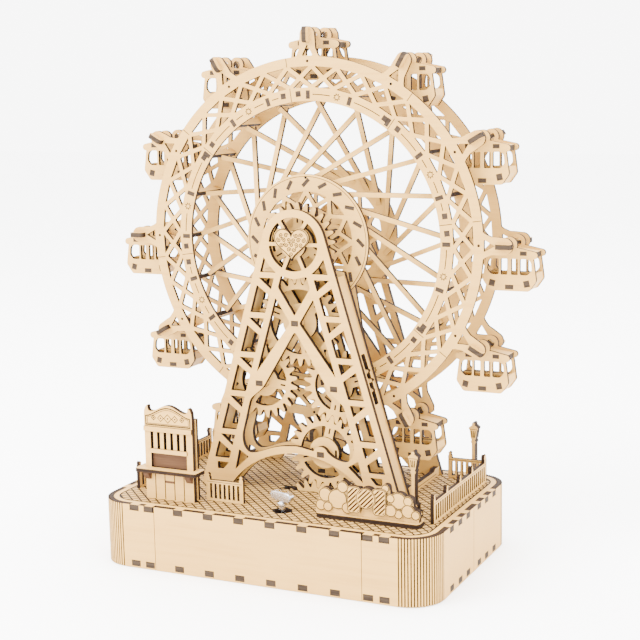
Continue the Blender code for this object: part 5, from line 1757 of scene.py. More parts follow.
@dataclass
class Wheel(Assembly):
    """The two rims with their lattice, the hub discs, the spokes, the ties and the axle."""

    spacing: float = 30.0
    hub_spacing: float = 39.8
    outer: float = 98.15
    outer_band: float = 5.0
    inner: float = 74.7
    inner_band: float = 7.3
    strip: float = 2.2
    cells: int = 40
    start: float = 7.5
    gondolas: int = 12
    pivot: float = 109.5
    head: float = 4.3
    fin: tuple[float, float, float] = (8.4, 2.6, 4.0)
    tongue: Point = (3.4, 2.0)
    foot: float = 14.0
    waist: float = 104.5
    waist_width: float = 9.4
    window: float = 6.4
    spokes: int = 20
    sweep: float = 36.0
    seat: float = 31.5
    spoke_width: float = 2.6
    overshoot: float = 4.5
    tie_radius: float = 78.0
    tie: Point = (4.5, 2.3)
    hub_outer: float = 36.0
    hub_inner: float = 27.0
    boss: float = 9.0
    meeting: float = 19.5
    petals: int = 12
    hub_strip: float = 2.0
    window_gap: float = 0.3
    joints: int = 8
    joint_gap: float = 0.1
    joint_out: float = 0.6
    joint_side: float = 3.3
    joint_tab: Point = (3.0, 3.0)
    star_side: float = 20.0
    pivot_dot: float = 0.75
    dash_rooms: tuple[float, float, float] = (2.6, 1.5, 5.0)
    fin_corner: float = 1.6
    tongue_end: float = 5.8
    spoke_gap: float = 0.8
    hub_lines: tuple[tuple[float, int], ...] = ((34.8, 96), (7.6, 48))
    hub_dot: Point = (0.8, 34.2)
    star: Point = (1.05, 1.9)
    dash_radius: float = 78.2
    dash_width: float = 0.45
    seat_slot: Point = (5.4, 2.0)
    washer: float = 5.4
    washers: tuple[Point, Point] = ((9.2, 11.0), (44.0, 45.8))

    def raised(self, loop: Loop) -> Loop:
        """Move a loop about the axle up to the wheel's height."""
        return moved(loop, 0, LAYOUT.axle_z)

    def bracket(self) -> Loop:
        """Return one bracket's edge, pointing right.

        Returns:
            The points in order.
        """
        half, waist = self.foot / 2, self.waist_width / 2
        base = math.sqrt(self.outer ** 2 - half ** 2)
        neck = self.waist - self.head / 2
        cap = arc(self.head, -95, 95, 12, (self.pivot, 0))
        lower = [(base, -half), (base + 1.2, -half + 0.9), (neck, -waist), (self.waist + 1.0, -waist + 0.1)]
        return lower + cap + [(x, -y) for x, y in reversed(lower)]

    def rim_outline(self) -> Loop:
        """Return a rim's edge with all its brackets.

        Returns:
            The points in order.
        """
        turn = math.degrees(math.asin(self.foot / 2 / self.outer))
        step = 360 / self.gondolas
        loop: Loop = []
        for index in range(self.gondolas):
            loop += spun(self.bracket(), index * step)
            loop += arc(self.outer, index * step + turn, (index + 1) * step - turn, 12)[1:-1]
        return self.raised(loop)

    def lattice(self) -> list[Loop]:
        """Return the openings of the crossed strips.

        Returns:
            One loop for each opening.
        """
        step, half = 360 / self.cells, self.strip / 2
        low, high = self.inner + self.inner_band, self.outer - self.outer_band
        holes = []
        for index in range(self.cells):
            start = self.start + index * step
            a, b = Vector(polar(low, start)), Vector(polar(low, start + step))
            c, d = Vector(polar(high, start + step)), Vector(polar(high, start))
            cross = crossing(a, c - a, b, d - b)
            bottom = inset([tuple(a), tuple(b), cross], (0, half, half))
            top = inset([tuple(c), tuple(d), cross], (0, half, half))
            far_low, far_high = Vector(polar(low, start + 2 * step)), Vector(polar(high, start + 2 * step))
            following = crossing(b, far_high - b, far_low, c - far_low)
            diamond = inset([tuple(b), following, tuple(c), cross], (half,) * 4)
            holes += [rounded(hole, 0.35, 1) for hole in (bottom, top, diamond)]
        return [self.raised(hole) for hole in holes]

    def bracket_windows(self) -> list[Loop]:
        """Return the opening between each bracket's legs.

        Returns:
            One loop for each opening.
        """
        half, base = self.window / 2, self.outer + self.window_gap
        window = rounded([(base, -half), (self.waist, 0), (base, half)], 0.6, 2)
        return [self.raised(spun(window, index * 360 / self.gondolas)) for index in range(self.gondolas)]

    def dress_rim(self, work: Work, at: float, way: int) -> None:
        """Add the joints, tab ends, stars and engraved line to one side of a rim.

        Args:
            work: the piece's gathered faces.
            at: the depth of the surface.
            way: 1 if the surface looks along the depth, -1 if against it.
        """
        band_low, band_high = self.inner, self.inner + self.inner_band
        outer_low = self.outer - self.outer_band
        gap = self.joint_gap
        for index in range(self.joints):
            joint = self.start + index * 360 / self.joints
            for low, high in ((band_low + gap, band_high - gap), (outer_low + gap, self.outer - gap)):
                work.line(self.raised([polar(low, joint), polar(high, joint)]), PLAIN_LINE, at, way)
            for side in (-1, 1):
                place = polar(self.tie_radius + self.joint_out, joint + side * self.joint_side)
                work.pad(self.raised(slab(place, *self.joint_tab, joint)), at, way)
        for index in range(self.spokes):
            place = polar(self.tie_radius, index * 360 / self.spokes)
            work.pad(self.raised(slab(place, *self.tie, index * 360 / self.spokes)), at, way)
        stars = [self.start + 90 * index + side * self.star_side for index in range(4) for side in (-1, 1)]
        for star in stars:
            middle = polar(self.dash_radius, star)
            points = [polar(self.star[corner % 2], star + corner * 22.5, middle) for corner in range(16)]
            work.line(self.raised(points), PLAIN_LINE, at, way, True)
        self.dashes(work, at, way, stars)
        for index in range(self.gondolas):
            place = polar(self.outer - self.outer_band / 2, index * 360 / self.gondolas)
            work.pad(self.raised(ring(self.pivot_dot, 12, place)), at, way, Finish.LINE)

    def dashes(self, work: Work, at: float, way: int, stars: list[float]) -> None:
        """Engrave the broken line that runs around the inner band.

        Args:
            work: the piece's gathered faces.
            at: the depth of the surface.
            way: 1 if the surface looks along the depth, -1 if against it.
            stars: the angles at which the stars sit.
        """
        star_room, tie_room, joint_room = self.dash_rooms
        taken = [(star, star_room) for star in stars]
        taken += [(index * 360 / self.spokes, tie_room) for index in range(self.spokes)]
        taken += [(self.start + index * 360 / self.joints, joint_room) for index in range(self.joints)]
        free = [degrees / 2 for degrees in range(720)
                if all(abs((degrees / 2 - place + 180) % 360 - 180) > width for place, width in taken)]
        run = [free[0]]
        for degrees in free[1:] + [1e6]:
            if degrees - run[-1] > 0.6:
                if len(run) > 3:
                    dash = self.raised([polar(self.dash_radius, turn) for turn in run])
                    work.line(dash, self.dash_width, at, way)
                run = []
            run.append(degrees)

    def fins(self, work: Work, at: float, way: int) -> None:
        """Stand a fin on edge at each pivot, with a tongue through the rim and the gondola's ear.

        Args:
            work: the rim's faces.
            at: the depth of the rim's outer side.
            way: 1 if that side looks along the depth, -1 if against it.
        """
        base = LAYOUT
        length, thick, rise = self.fin
        inner = base.wheel_middle + way * self.tongue_end
        low, high, corner = self.pivot - length / 2, self.pivot + length / 2, self.fin_corner
        foot, top = at - way * SUNK, at + way * rise
        crest = [(high, foot)] + [(high - corner + across, top - way * (corner - up))
                                  for across, up in arc(corner, 0, 90, 4)]
        outline = crest + [(low + high - x, y) for x, y in reversed(crest)]
        marks = [Finish.EDGE] + [Finish.END] * (len(outline) - 3) + [Finish.EDGE, Finish.EDGE]
        stem = block(self.pivot - self.tongue[0] / 2, min(foot, inner), self.pivot + self.tongue[0] / 2,
                     max(foot, inner))
        for index in range(self.gondolas):
            out = polar(1.0, index * 360 / self.gondolas)
            work.plane = Plane((out[0], 0, out[1]), (0, 1, 0), (-out[1], 0, out[0]), (0, 0, base.axle_z))
            work.plate(outline, [], -thick / 2, thick / 2, edges=marks)
            work.plate(stem, [], -self.tongue[1] / 2, self.tongue[1] / 2, edge=Finish.END)
        work.plane = STANDING

    def rims(self) -> None:
        """Make both rims and the ties between them."""
        base = LAYOUT
        holes = [self.raised(ring(self.inner, 120))] + self.lattice() + self.bracket_windows()
        for place, middle, way in (("front", base.wheel_middle - self.spacing / 2, -1),
                                   ("rear", base.wheel_middle + self.spacing / 2, 1)):
            work = Work()
            half = base.thin / 2
            work.plate(self.rim_outline(), holes, middle - half, middle + half)
            self.dress_rim(work, middle + way * half, way)
            self.fins(work, middle + way * half, way)
            if place == "front":
                self.ties(work)
            self.show(work, f"{place}_rim", "wheel", Slot.PLY, f"rim_{place}")

    def ties(self, work: Work) -> None:
        """Add the twenty ties between the rims.

        Args:
            work: the piece's gathered faces.
        """
        base = LAYOUT
        start = base.wheel_middle - self.spacing / 2 + base.thin / 2 - SUNK
        end = base.wheel_middle + self.spacing / 2 - base.thin / 2 - SUNK
        low, high = self.tie_radius - self.tie[0] / 2, self.tie_radius + self.tie[0] / 2
        side = [(start, low), (end, low), (end, high), (start, high)]
        for index in range(self.spokes):
            turn = math.radians(index * 360 / self.spokes)
            out = Vector((math.cos(turn), 0, math.sin(turn)))
            along = Vector((-out.z, 0, out.x))
            rings = []
            for sign in (-1, 1):
                rings.append([Vector((0, y, base.axle_z)) + out * radius + along * (sign * self.tie[1] / 2)
                              for y, radius in side])
            work.prism(rings[0], rings[1], [Finish.EDGE] * 4, Finish.FACE)

    def hub_holes(self) -> list[Loop]:
        """Return the openings between a hub disc's crossed arches.

        Returns:
            One loop for each opening.
        """
        step, half, holes = 360 / self.petals, self.hub_strip / 2, []
        for index in range(self.petals):
            start = 90 + index * step
            apex, following = polar(self.hub_inner, start), polar(self.hub_inner, start + step)
            band = polar(self.hub_inner, start + step / 2)
            before, after = polar(self.meeting, start - step / 2), polar(self.meeting, start + step / 2)
            boss = polar(self.boss + self.hub_strip, start)
            holes.append(rounded(inset([following, after, apex, band], (half, half, 0, 0)), 0.7, 2))
            holes.append(rounded(inset([apex, after, boss, before], (half,) * 4), 1.1, 2))
        return [self.raised(hole) for hole in holes]

    def spoke(self, work: Work, degrees: float, way: int, face: float, reach: float) -> None:
        """Add one slanting spoke from a hub disc to the ties.

        Args:
            work: the piece's gathered faces.
            degrees: the angle of its seat in the hub disc.
            way: 1 if it sweeps clockwise, -1 if anticlockwise.
            face: the depth of the disc's face.
            reach: the depth of its far end.
        """
        outward = 1 if reach > face else -1
        end = self.tie_radius - self.tie[0] / 2 - self.spoke_gap
        seat = Vector(spun([(self.seat, 0)], degrees)[0])
        tie = Vector(spun([(end, 0)], degrees - way * self.sweep)[0])
        span, rise = (tie - seat).length, abs(reach - face)
        stick = math.hypot(span, rise)
        run = (tie - seat) / span
        across = Vector((-run.y, run.x)) * (self.spoke_width / 2)
        thin = LAYOUT.thin
        slant, back = run * (thin / 2 * stick / rise), run * (thin * rise / stick)
        lift = outward * thin / 2 * span / stick
        foot = [seat + across - slant, seat + across + slant, seat - across + slant, seat - across - slant]
        tip = [tie + across - back, tie + across, tie - across, tie - across - back]
        depths = (reach + lift, reach - lift, reach - lift, reach + lift)
        sunk = face - outward * SUNK
        first = [Vector((point.x, sunk, point.y + LAYOUT.axle_z)) for point in foot]
        second = [Vector((point.x, depth, point.y + LAYOUT.axle_z)) for point, depth in zip(tip, depths)]
        work.prism(first, second, [Finish.EDGE, Finish.FACE, Finish.EDGE, Finish.FACE], Finish.END)

    def hub(self, place: str, way: int) -> None:
        """Make one hub disc with its spokes.

        Args:
            place: front or rear.
            way: 1 if the spokes sweep clockwise, -1 if not.
        """
        base = LAYOUT
        outward = 1 if place == "front" else -1
        depth = base.wheel_middle - outward * self.hub_spacing / 2
        half = base.thin / 2
        bore = self.raised(ring(base.axle_radius + base.gap, 24))
        work = Work()
        disc = self.raised(ring(self.hub_outer, 96))
        work.plate(disc, [*self.hub_holes(), bore], depth - half, depth + half)
        face, outside = depth + outward * half, depth - outward * half
        for index in range(self.spokes):
            turn = index * 360 / self.spokes
            self.spoke(work, turn, way, face, base.wheel_middle + outward * self.overshoot)
            slot = slab(polar(self.seat, turn), *self.seat_slot, turn - way * 45)
            work.pad(self.raised(slot), outside, -outward)
        for radius, steps in self.hub_lines:
            work.line(self.raised(ring(radius, steps)), THIN_LINE, outside, -outward, True)
        dot = ring(self.hub_dot[0], 12, polar(self.hub_dot[1], 90))
        work.pad(self.raised(dot), outside, -outward, Finish.LINE)
        self.show(work, f"{place}_hub", "wheel", Slot.PLY, f"hub_{place}")

    def axle(self) -> None:
        """Make the wheel's axle: a dowel with chamfered ends."""
        base = LAYOUT
        near, far = base.tower_front + base.gap, base.tower_rear + base.ply - base.gap
        radius = base.axle_radius
        work = Work()
        profile = [(radius - 0.5, 0), (radius, 0.5), (radius, far - near - 0.5), (radius - 0.5, far - near)]
        work.lathe(profile, Vector((0, near, base.axle_z)), Vector((0, 1, 0)), 24, Finish.END)
        for low, high in self.washers:
            hole = self.raised(ring(radius - 0.05, 24))
            work.plate(self.raised(ring(self.washer, 32)), [hole], low, high)
        self.show(work, "axle_dowel", "wheel", Slot.BURNT, "wheel_axle")

    def build(self) -> None:
        """Make the whole wheel."""
        self.rims()
        self.hub("front", 1)
        self.hub("rear", -1)
        self.axle()


@dataclass
class Gondola(Assembly):
    """One hanging gondola, drawn about its pin and set at twelve places."""

    half_depth: float = 8.0
    ear: float = 4.2
    ear_hole: float = 2.15
    eave: float = 1.9
    eave_centre: Point = (13.1, -5.2)
    top_half: float = 12.8
    waist_half: float = 14.4
    waist_drop: float = 18.5
    foot_half: float = 10.5
    drop: float = 24.0
    tabs: tuple[tuple[float, ...], ...] = ((7.5, -4.3, 3.6, 2.2, 0), (9.3, -20.0, 3.2, 3.4, 13))
    foot_tab: tuple[Point, float, float] = ((0, -21.9), 4.5, 2.4)
    tub_gap: float = 0.4
    tub_top: float = -6.0
    tub_rim: float = 0.72
    inner_window: tuple[float, float, float, float] = (1.0, -15.5, 4.6, -7.2)
    outer_window: tuple[Point, ...] = (
        (5.6, -15.5), (9.8, -15.5), (12.0, -13.0), (11.6, -8.8), (10.2, -7.2), (5.6, -7.2))
    roof: tuple[Point, ...] = ((-12.9, -6.9), (12.9, -6.9), (12.9, -4.0), (0, -2.2), (-12.9, -4.0))
    seat: tuple[float, float, float, float] = (-12.6, -15.4, 12.6, -14.6)
    seat_half: float = 0.9
    count: int = 12
    pivot: float = 109.5

    def outline(self) -> Loop:
        """Return a side plate's edge: ear, roof, body and foot.

        Returns:
            The points in order.
        """
        ear = arc(self.ear, -19.5, 199.5, 18)
        body = rounded([(0, -self.drop), (self.foot_half, -self.drop), (self.waist_half, -self.waist_drop),
                        (self.top_half, -7.0)], 1.0, 3)[4:-2]
        side = body + arc(self.eave, -95, 80, 8, self.eave_centre)
        return side + ear + mirrored(side)

    def windows(self) -> list[Loop]:
        """Return a side plate's four windows.

        Returns:
            One loop for each opening.
        """
        inner = rounded(block(*self.inner_window), 0.3, 1)
        outer = rounded(list(self.outer_window), 0.9, 2)
        return [inner, outer, mirrored(inner), mirrored(outer)]

    def tub(self, inner: float) -> Loop:
        """Return one side of the tub's section, from its foot up to its rim.

        Args:
            inner: the distance inside the outer face.

        Returns:
            The points in order.
        """
        edge = self.tub_gap + inner
        top = (self.top_half - edge, self.tub_top)
        waist = (self.waist_half - edge, -self.waist_drop + edge * 0.3)
        share = self.tub_rim
        rim = (top[0] + (waist[0] - top[0]) * share, top[1] + (waist[1] - top[1]) * share)
        return [(self.foot_half - edge * 0.7, -self.drop + edge), waist, rim]

    def draw(self, plane: Plane) -> Work:
        """Draw one gondola about its pin.

        Args:
            plane: the plane that it is drawn in.

        Returns:
            The gondola's faces.
        """
        work = Work(plane)
        half = self.half_depth
        thin = LAYOUT.thin
        hole = ring(self.ear_hole, 20)
        for way in (-1, 1):
            near, far = sorted((way * half, way * (half - thin)))
            work.plate(self.outline(), [*self.windows(), hole], near, far)
            at = way * half
            for sign in (-1, 1):
                for x, y, width, height, lean in self.tabs:
                    work.pad(slab((sign * x, y), width, height, sign * lean), at, way)
            work.pad(slab(*self.foot_tab), at, way)
        near, far = -half + thin - SUNK, half - thin + SUNK
        sides = [Finish.FACE, Finish.END, Finish.FACE, Finish.FACE, Finish.END]
        work.plate(list(self.roof), [], near, far, edges=sides)
        outer, inner = self.tub(0), self.tub(1.0)
        right = outer + inner[::-1]
        work.plate(right + mirrored(right), [], near, far, edge=Finish.FACE)
        work.plate(block(*self.seat), [], -self.seat_half, self.seat_half, edge=Finish.EDGE)
        return work

    def build(self) -> None:
        """Make twelve gondolas, each about its own pin."""
        first: bpy.types.Object | None = None
        for index in range(self.count):
            across, up = polar(self.pivot, index * 360 / self.count)
            place = Vector((across, LAYOUT.wheel_middle, up + LAYOUT.axle_z))
            name = f"gondola_{index + 1:02d}"
            if first is None:
                piece = first = self.draw(STANDING).piece(f"{name}_car", self.finishes, place)
            else:
                piece = placed(f"{name}_car", first.data.copy())
                piece.location = place * MM
            mount(piece, name, Slot.PLY, name)


# Music movement

@dataclass
class Movement(Assembly):
    """The wind-up movement under the deck and the key above it."""

    key: Point = (6.4, -42.3)
    key_turn: float = math.radians(-18)
    drum: Point = (6.024, 23.46)
    drum_radius: float = 5.6
    drum_near: float = -27.5
    drum_far: float = -9.5
    stem: tuple[Point, ...] = (
        (2.0, 0), (2.6, 0.3), (2.6, 1.6), (2.1, 2.0), (1.7, 2.4), (1.7, 4.4), (1.2, 4.8))
    wing: tuple[Point, ...] = ((2.4, 2.6), (5.6, 2.9), (7.2, 4.0), (7.3, 6.0), (6.2, 7.3), (3.4, 7.6))
    wing_middle: float = 5.1
    wing_halves: Point = (1.3, 1.75)
    key_rise: float = 2.8
    barrel: float = 12.0
    barrel_low: float = 12.1
    barrel_high: float = 29.1
    rivet: tuple[Point, ...] = ((1.1, 0), (1.0, 0.35), (0.5, 0.6))
    rivet_circle: float = 8.6
    pin_rows: int = 9
    pins: int = 7
    pin_pitch: float = 2.0
    pin: tuple[Point, ...] = ((0.22, 0), (0.22, 0.45), (0.12, 0.58))

    def winding_key(self) -> None:
        """Make the plated key: a collar, a stem and a thick smooth wing."""
        low = LAYOUT.deck_top + self.key_rise
        x, y = self.key
        work = Work()
        work.lathe(self.stem, Vector((x, y, low)), Vector((0, 0, 1)), 24, Finish.STEEL)
        work.plane = Plane((math.cos(self.key_turn), math.sin(self.key_turn), 0), (0, 0, 1),
                           (-math.sin(self.key_turn), math.cos(self.key_turn), 0), (x, y, low))
        wing = rounded([*self.wing, *mirrored(list(self.wing))], 1.4, 5)
        thin, thick = self.wing_halves
        work.plain(wing, [], -thin, thin, Finish.STEEL)
        middle = self.wing_middle
        raised = [(across * 0.93, middle + (up - middle) * 0.86) for across, up in wing]
        work.plain(raised, [], -thick, thick, Finish.STEEL)
        self.show(work, "butterfly_key", "winder", Slot.STEEL, "winding_key")

    def cylinder(self) -> None:
        """Make the tune's cylinder: end plates, a pinned drum and its shaft."""
        base = LAYOUT
        x, z = self.drum
        length = self.drum_far - self.drum_near
        radius = self.drum_radius
        work = Work()
        edge, skin = radius - 0.9, radius - 0.4
        profile = [(edge, 0), (skin, 0.4), (skin, length - 0.4), (edge, length)]
        work.lathe(profile, Vector((x, self.drum_near, z)), Vector((0, 1, 0)), 48, Finish.BRASS)
        end = base.gear_front + 3.3 - self.drum_near
        shaft = [(1.6, length - 0.2), (2.0, length), (2.0, end - 3.7), (3.0, end - 3.6), (3.0, end - 0.3),
                 (2.6, end)]
        work.lathe(shaft, Vector((x, self.drum_near, z)), Vector((0, 1, 0)), 24, Finish.BRASS)
        for row in range(self.pin_rows):
            for column in range(self.pins):
                turn = math.radians((column * 51.4 + row * row * 23) % 360)
                out = Vector((math.cos(turn), 0, math.sin(turn)))
                spot = Vector((x, self.drum_near + 1.0 + row * self.pin_pitch, z)) + out * (radius - 0.6)
                work.lathe(self.pin, spot, out, 6, Finish.STEEL)
        self.show(work, "pinned_cylinder", "cylinder", Slot.BRASS, "tune_cylinder")

    def housing(self) -> None:
        """Make the spring's housing with its lid, rim and rivets."""
        low, high = self.barrel_low, self.barrel_high
        work = Work(LYING)
        hole = ring(2.1, 20, self.key)
        work.plain(ring(self.barrel, 64, self.key), [hole], low + 1.2, high, Finish.BRASS)
        work.plain(ring(self.barrel - 0.8, 64, self.key), [hole], low, low + 1.25, Finish.BRASS)
        for index in range(4):
            spot = polar(self.rivet_circle, 45 + 90 * index, self.key)
            work.lathe(self.rivet, Vector((*spot, low)), Vector((0, 0, -1)), 12, Finish.STEEL)
        self.show(work, "spring_barrel", "tower", Slot.BRASS, "spring_housing")

    def kept(self, frame: dict) -> None:
        """Give the plain pieces of the movement their metals.

        Args:
            frame: the loaded frame.
        """
        metals = {"winding_arbor": Finish.STEEL, "movement_bedplate": Finish.STEEL, "tone_comb": Finish.BLUED,
                  "governor_frame": Finish.STEEL, "governor_fan": Finish.BRASS}
        for node, finish in metals.items():
            data = frame["nodes"][node].data
            data.materials.clear()
            data.materials.append(self.finishes.take(finish))

    def build(self, frame: dict) -> None:
        """Make the movement.

        Args:
            frame: the loaded frame.
        """
        self.winding_key()
        self.cylinder()
        self.housing()
        self.kept(frame)


# Deck furniture

@dataclass
class TicketBooth(Assembly):
    """The booth: a fretted front, a counter, planks and slatted walls."""

    left: float = -73.0
    width: float = 29.6
    front: float = -48.0
    depth: float = 8.0
    top: float = 52.0
    valley: float = 48.4
    wall_top: float = 44.5
    counter_top: float = 17.4
    counter_width: float = 37.5
    counter_reach: float = 5.0
    post: float = 3.7
    window_top: float = 37.2
    shelf_top: float = 27.9
    shelf: float = 2.3
    bars: int = 5
    bar: float = 2.3
    crest_steps: int = 8
    crest_power: float = 0.85
    horn: tuple[Point, ...] = (
        (0, 46.0), (0.2, 48.6), (0.9, 50.5), (2.0, 51.6), (2.4, 51.2), (2.5, 49.8), (3.1, 48.7))
    horn_width: float = 4.4
    frame: tuple[float, float, float] = (41.0, 45.7, 50.5)
    frame_lines: tuple[Point, Point] = ((0.0, 0.6), (1.0, 0.28))
    frame_edge: float = 1.1
    sign_height: float = 44.9
    lozenges: tuple[float, ...] = (1.3, 1.8, 2.3, 1.8, 1.3)
    lozenge_pitch: float = 4.4
    wall_inset: float = 0.9
    line_gap: float = 0.6
    lintel: Point = (37.5, 40.1)
    bracket: tuple[Point, ...] = ((0, 2.0), (3.4, 2.0), (3.4, 3.4), (1.4, 6.4), (0, 6.4))
    bracket_inset: float = 1.9
    bracket_half: float = 1.6
    shutter: Point = (1.6, 2.4)
    plank_slot: Point = (10.0, 1.3)
    planks: int = 5

    @property
    def middle(self) -> float:
        """The booth's middle across the deck."""
        return self.left + self.width / 2

    def crest(self, reach: float, low: float, high: float) -> Loop:
        """Return the right half of an arch that swings up from its low end to the middle.

        Args:
            reach: the half width.
            low: the height of the low end.
            high: the height of the middle.

        Returns:
            The points in order.
        """
        shares = [step / self.crest_steps for step in range(self.crest_steps + 1)]
        return [(reach * (1 - share),
                 low + (high - low) * (0.5 - 0.5 * math.cos(math.pi * share)) ** self.crest_power)
                for share in shares]

    def crown(self) -> Loop:
        """Return the right half of the crown's edge, from the horn to the middle.

        Returns:
            The points in order.
        """
        half = self.width / 2
        horn = [(half - inwards, height) for inwards, height in self.horn]
        return horn + self.crest(half - self.horn_width, self.valley, self.top)

    def face_outline(self) -> Loop:
        """Return the front's edge.

        Returns:
            The points in order.
        """
        right = [(self.width / 2, 0)] + self.crown()
        loop = right[:-1] + [(0, self.top)] + mirrored(right[:-1])
        return moved(loop, self.middle, LAYOUT.deck_top)

    def face(self, work: Work) -> None:
        """Add the front with its window, frame, sign, lintel and sill.

        Args:
            work: the piece's gathered faces.
        """
        base, deck = LAYOUT, LAYOUT.deck_top
        inner_left, inner_right = self.left + self.post, self.left + self.width - self.post
        pitch = (inner_right - inner_left + self.bar) / (self.bars + 1)
        low, high = deck + self.shelf_top, deck + self.window_top
        holes = [block(inner_left + index * pitch, low, inner_left + (index + 1) * pitch - self.bar, high)
                 for index in range(self.bars + 1)]
        counter = deck + self.counter_top
        holes.append(block(inner_left, counter + 0.1, inner_right, low - self.shelf))
        work.plate(self.face_outline(), holes, self.front, self.front + base.ply)
        low_end, shoulder, middle = self.frame
        for gap, width in self.frame_lines:
            half = self.width / 2 - self.frame_edge - gap
            right = [(half, low_end + gap * 0.7)] + self.crest(half, shoulder - gap * 0.5, middle - gap)
            loop = right[:-1] + [(0, middle - gap)] + mirrored(right[:-1])
            work.line(moved(loop, self.middle, deck), width, self.front, -1, True)
        self.ornament(work, (self.middle, deck + self.sign_height))
        bottom, top = self.lintel
        lintel = block(self.left, deck + bottom, self.left + self.width, deck + top)
        work.plate(lintel, [], self.front - 1.0, self.front)
        sill = block(inner_left - 0.4, low - self.shelf, inner_right + 0.4, low)
        work.plate(sill, [], self.front - 0.7, self.front)

    def ornament(self, work: Work, centre: Point) -> None:
        """Engrave a plain row of lozenges and dots on the sign.

        Args:
            work: the piece's gathered faces.
            centre: the row's middle.
        """
        x, y = centre
        for index, size in enumerate(self.lozenges, -2):
            spot = (x + index * self.lozenge_pitch, y)
            work.line([(spot[0] - size, y), (spot[0], y + size), (spot[0] + size, y), (spot[0], y - size)],
                      PLAIN_LINE, self.front, -1, True)
            work.pad(ring(0.45, 10, spot), self.front, -1, Finish.LINE)

    def hatch(self, work: Work) -> None:
        """Add the shutter between the sill and the counter, dark with painted shade, the lines between the
        planks and a painted-shade band for the plank slot.

        Args:
            work: the piece's gathered faces.
        """
        deck = LAYOUT.deck_top
        low, high = deck + self.counter_top, deck + self.shelf_top - self.shelf
        inner_left, inner_right = self.left + self.post + 0.2, self.left + self.width - self.post - 0.2
        shutter = block(inner_left, low + 0.2, inner_right, high - 0.2)
        near, far = self.shutter
        # the shutter's dark reddish-brown is painted shade of the recess behind the opening
        work.plate(shutter, [], self.front + near, self.front + far, Finish.SHADE, Finish.SHADE)
        planks = deck + self.counter_top - LAYOUT.ply - 0.5
        for index in range(1, self.planks):
            x = self.left + self.width * index / self.planks
            work.line([(x, deck + 0.2), (x, planks)], BROAD_LINE, self.front, -1)
        # a raised dark band of painted shade stands for the slot across the middle plank; nothing is cut
        height, thick = self.plank_slot
        slot = slab((self.middle, deck + height), self.width / self.planks - 0.2, thick)
        work.pad(slot, self.front, -1, Finish.SHADE)

    def counter(self, work: Work) -> None:
        """Add the counter's board and its two brackets.

        Args:
            work: the piece's gathered faces.
        """
        base, deck = LAYOUT, LAYOUT.deck_top
        half = self.counter_width / 2
        near, far = self.front - self.counter_reach, self.front + base.ply + 3
        top = deck + self.counter_top
        work.plane = LYING
        board = block(self.middle - half, near, self.middle + half, far)
        work.plate(rounded(board, 1.4, 4), [], top - base.thin, top, Finish.FACE, Finish.FACE, Finish.EDGE)
        work.plane = SIDEWAYS
        bracket = [(self.front - out, top - down) for out, down in self.bracket]
        for sign in (-1, 1):
            place, thick = self.middle + sign * (self.width / 2 - self.bracket_inset), self.bracket_half
            # the brackets take the same dark finish that paints the hatch's shade
            work.plain(rounded(bracket, 0.5, 2), [], place - thick, place + thick, Finish.SHADE)
        work.plane = STANDING

    def walls(self, work: Work) -> None:
        """Add the slatted side walls and the back wall.

        Args:
            work: the piece's gathered faces.
        """
        base, deck = LAYOUT, LAYOUT.deck_top
        left, right = self.left + self.wall_inset, self.left + self.width - self.wall_inset
        start, back = self.front + base.ply - SUNK, self.front + self.depth
        top = deck + self.wall_top
        thin = base.thin
        work.plane = SIDEWAYS
        for low, high, way in ((left, left + thin, -1), (right - thin, right, 1)):
            work.plate(block(start, deck, back - thin, top), [], low, high)
            at = low if way < 0 else high
            for index in range(1, 3):
                y = start + (back - thin - start) * index / 3
                work.line([(y, deck + self.line_gap), (y, top - self.line_gap)], PLAIN_LINE, at, way)
        work.plane = STANDING
        work.plate(block(left, deck, right, top), [], back - thin - 0.05, back)
        for index in range(1, 8):
            x = left + (right - left) * index / 8
            work.line([(x, deck + self.line_gap), (x, top - self.line_gap)], 0.4, back, 1)

    def build(self) -> None:
        """Make the booth."""
        work = Work()
        self.face(work)
        self.hatch(work)
        self.counter(work)
        self.walls(work)
        self.show(work, "booth_with_counter", "tower", Slot.PLY, "ticket_booth")


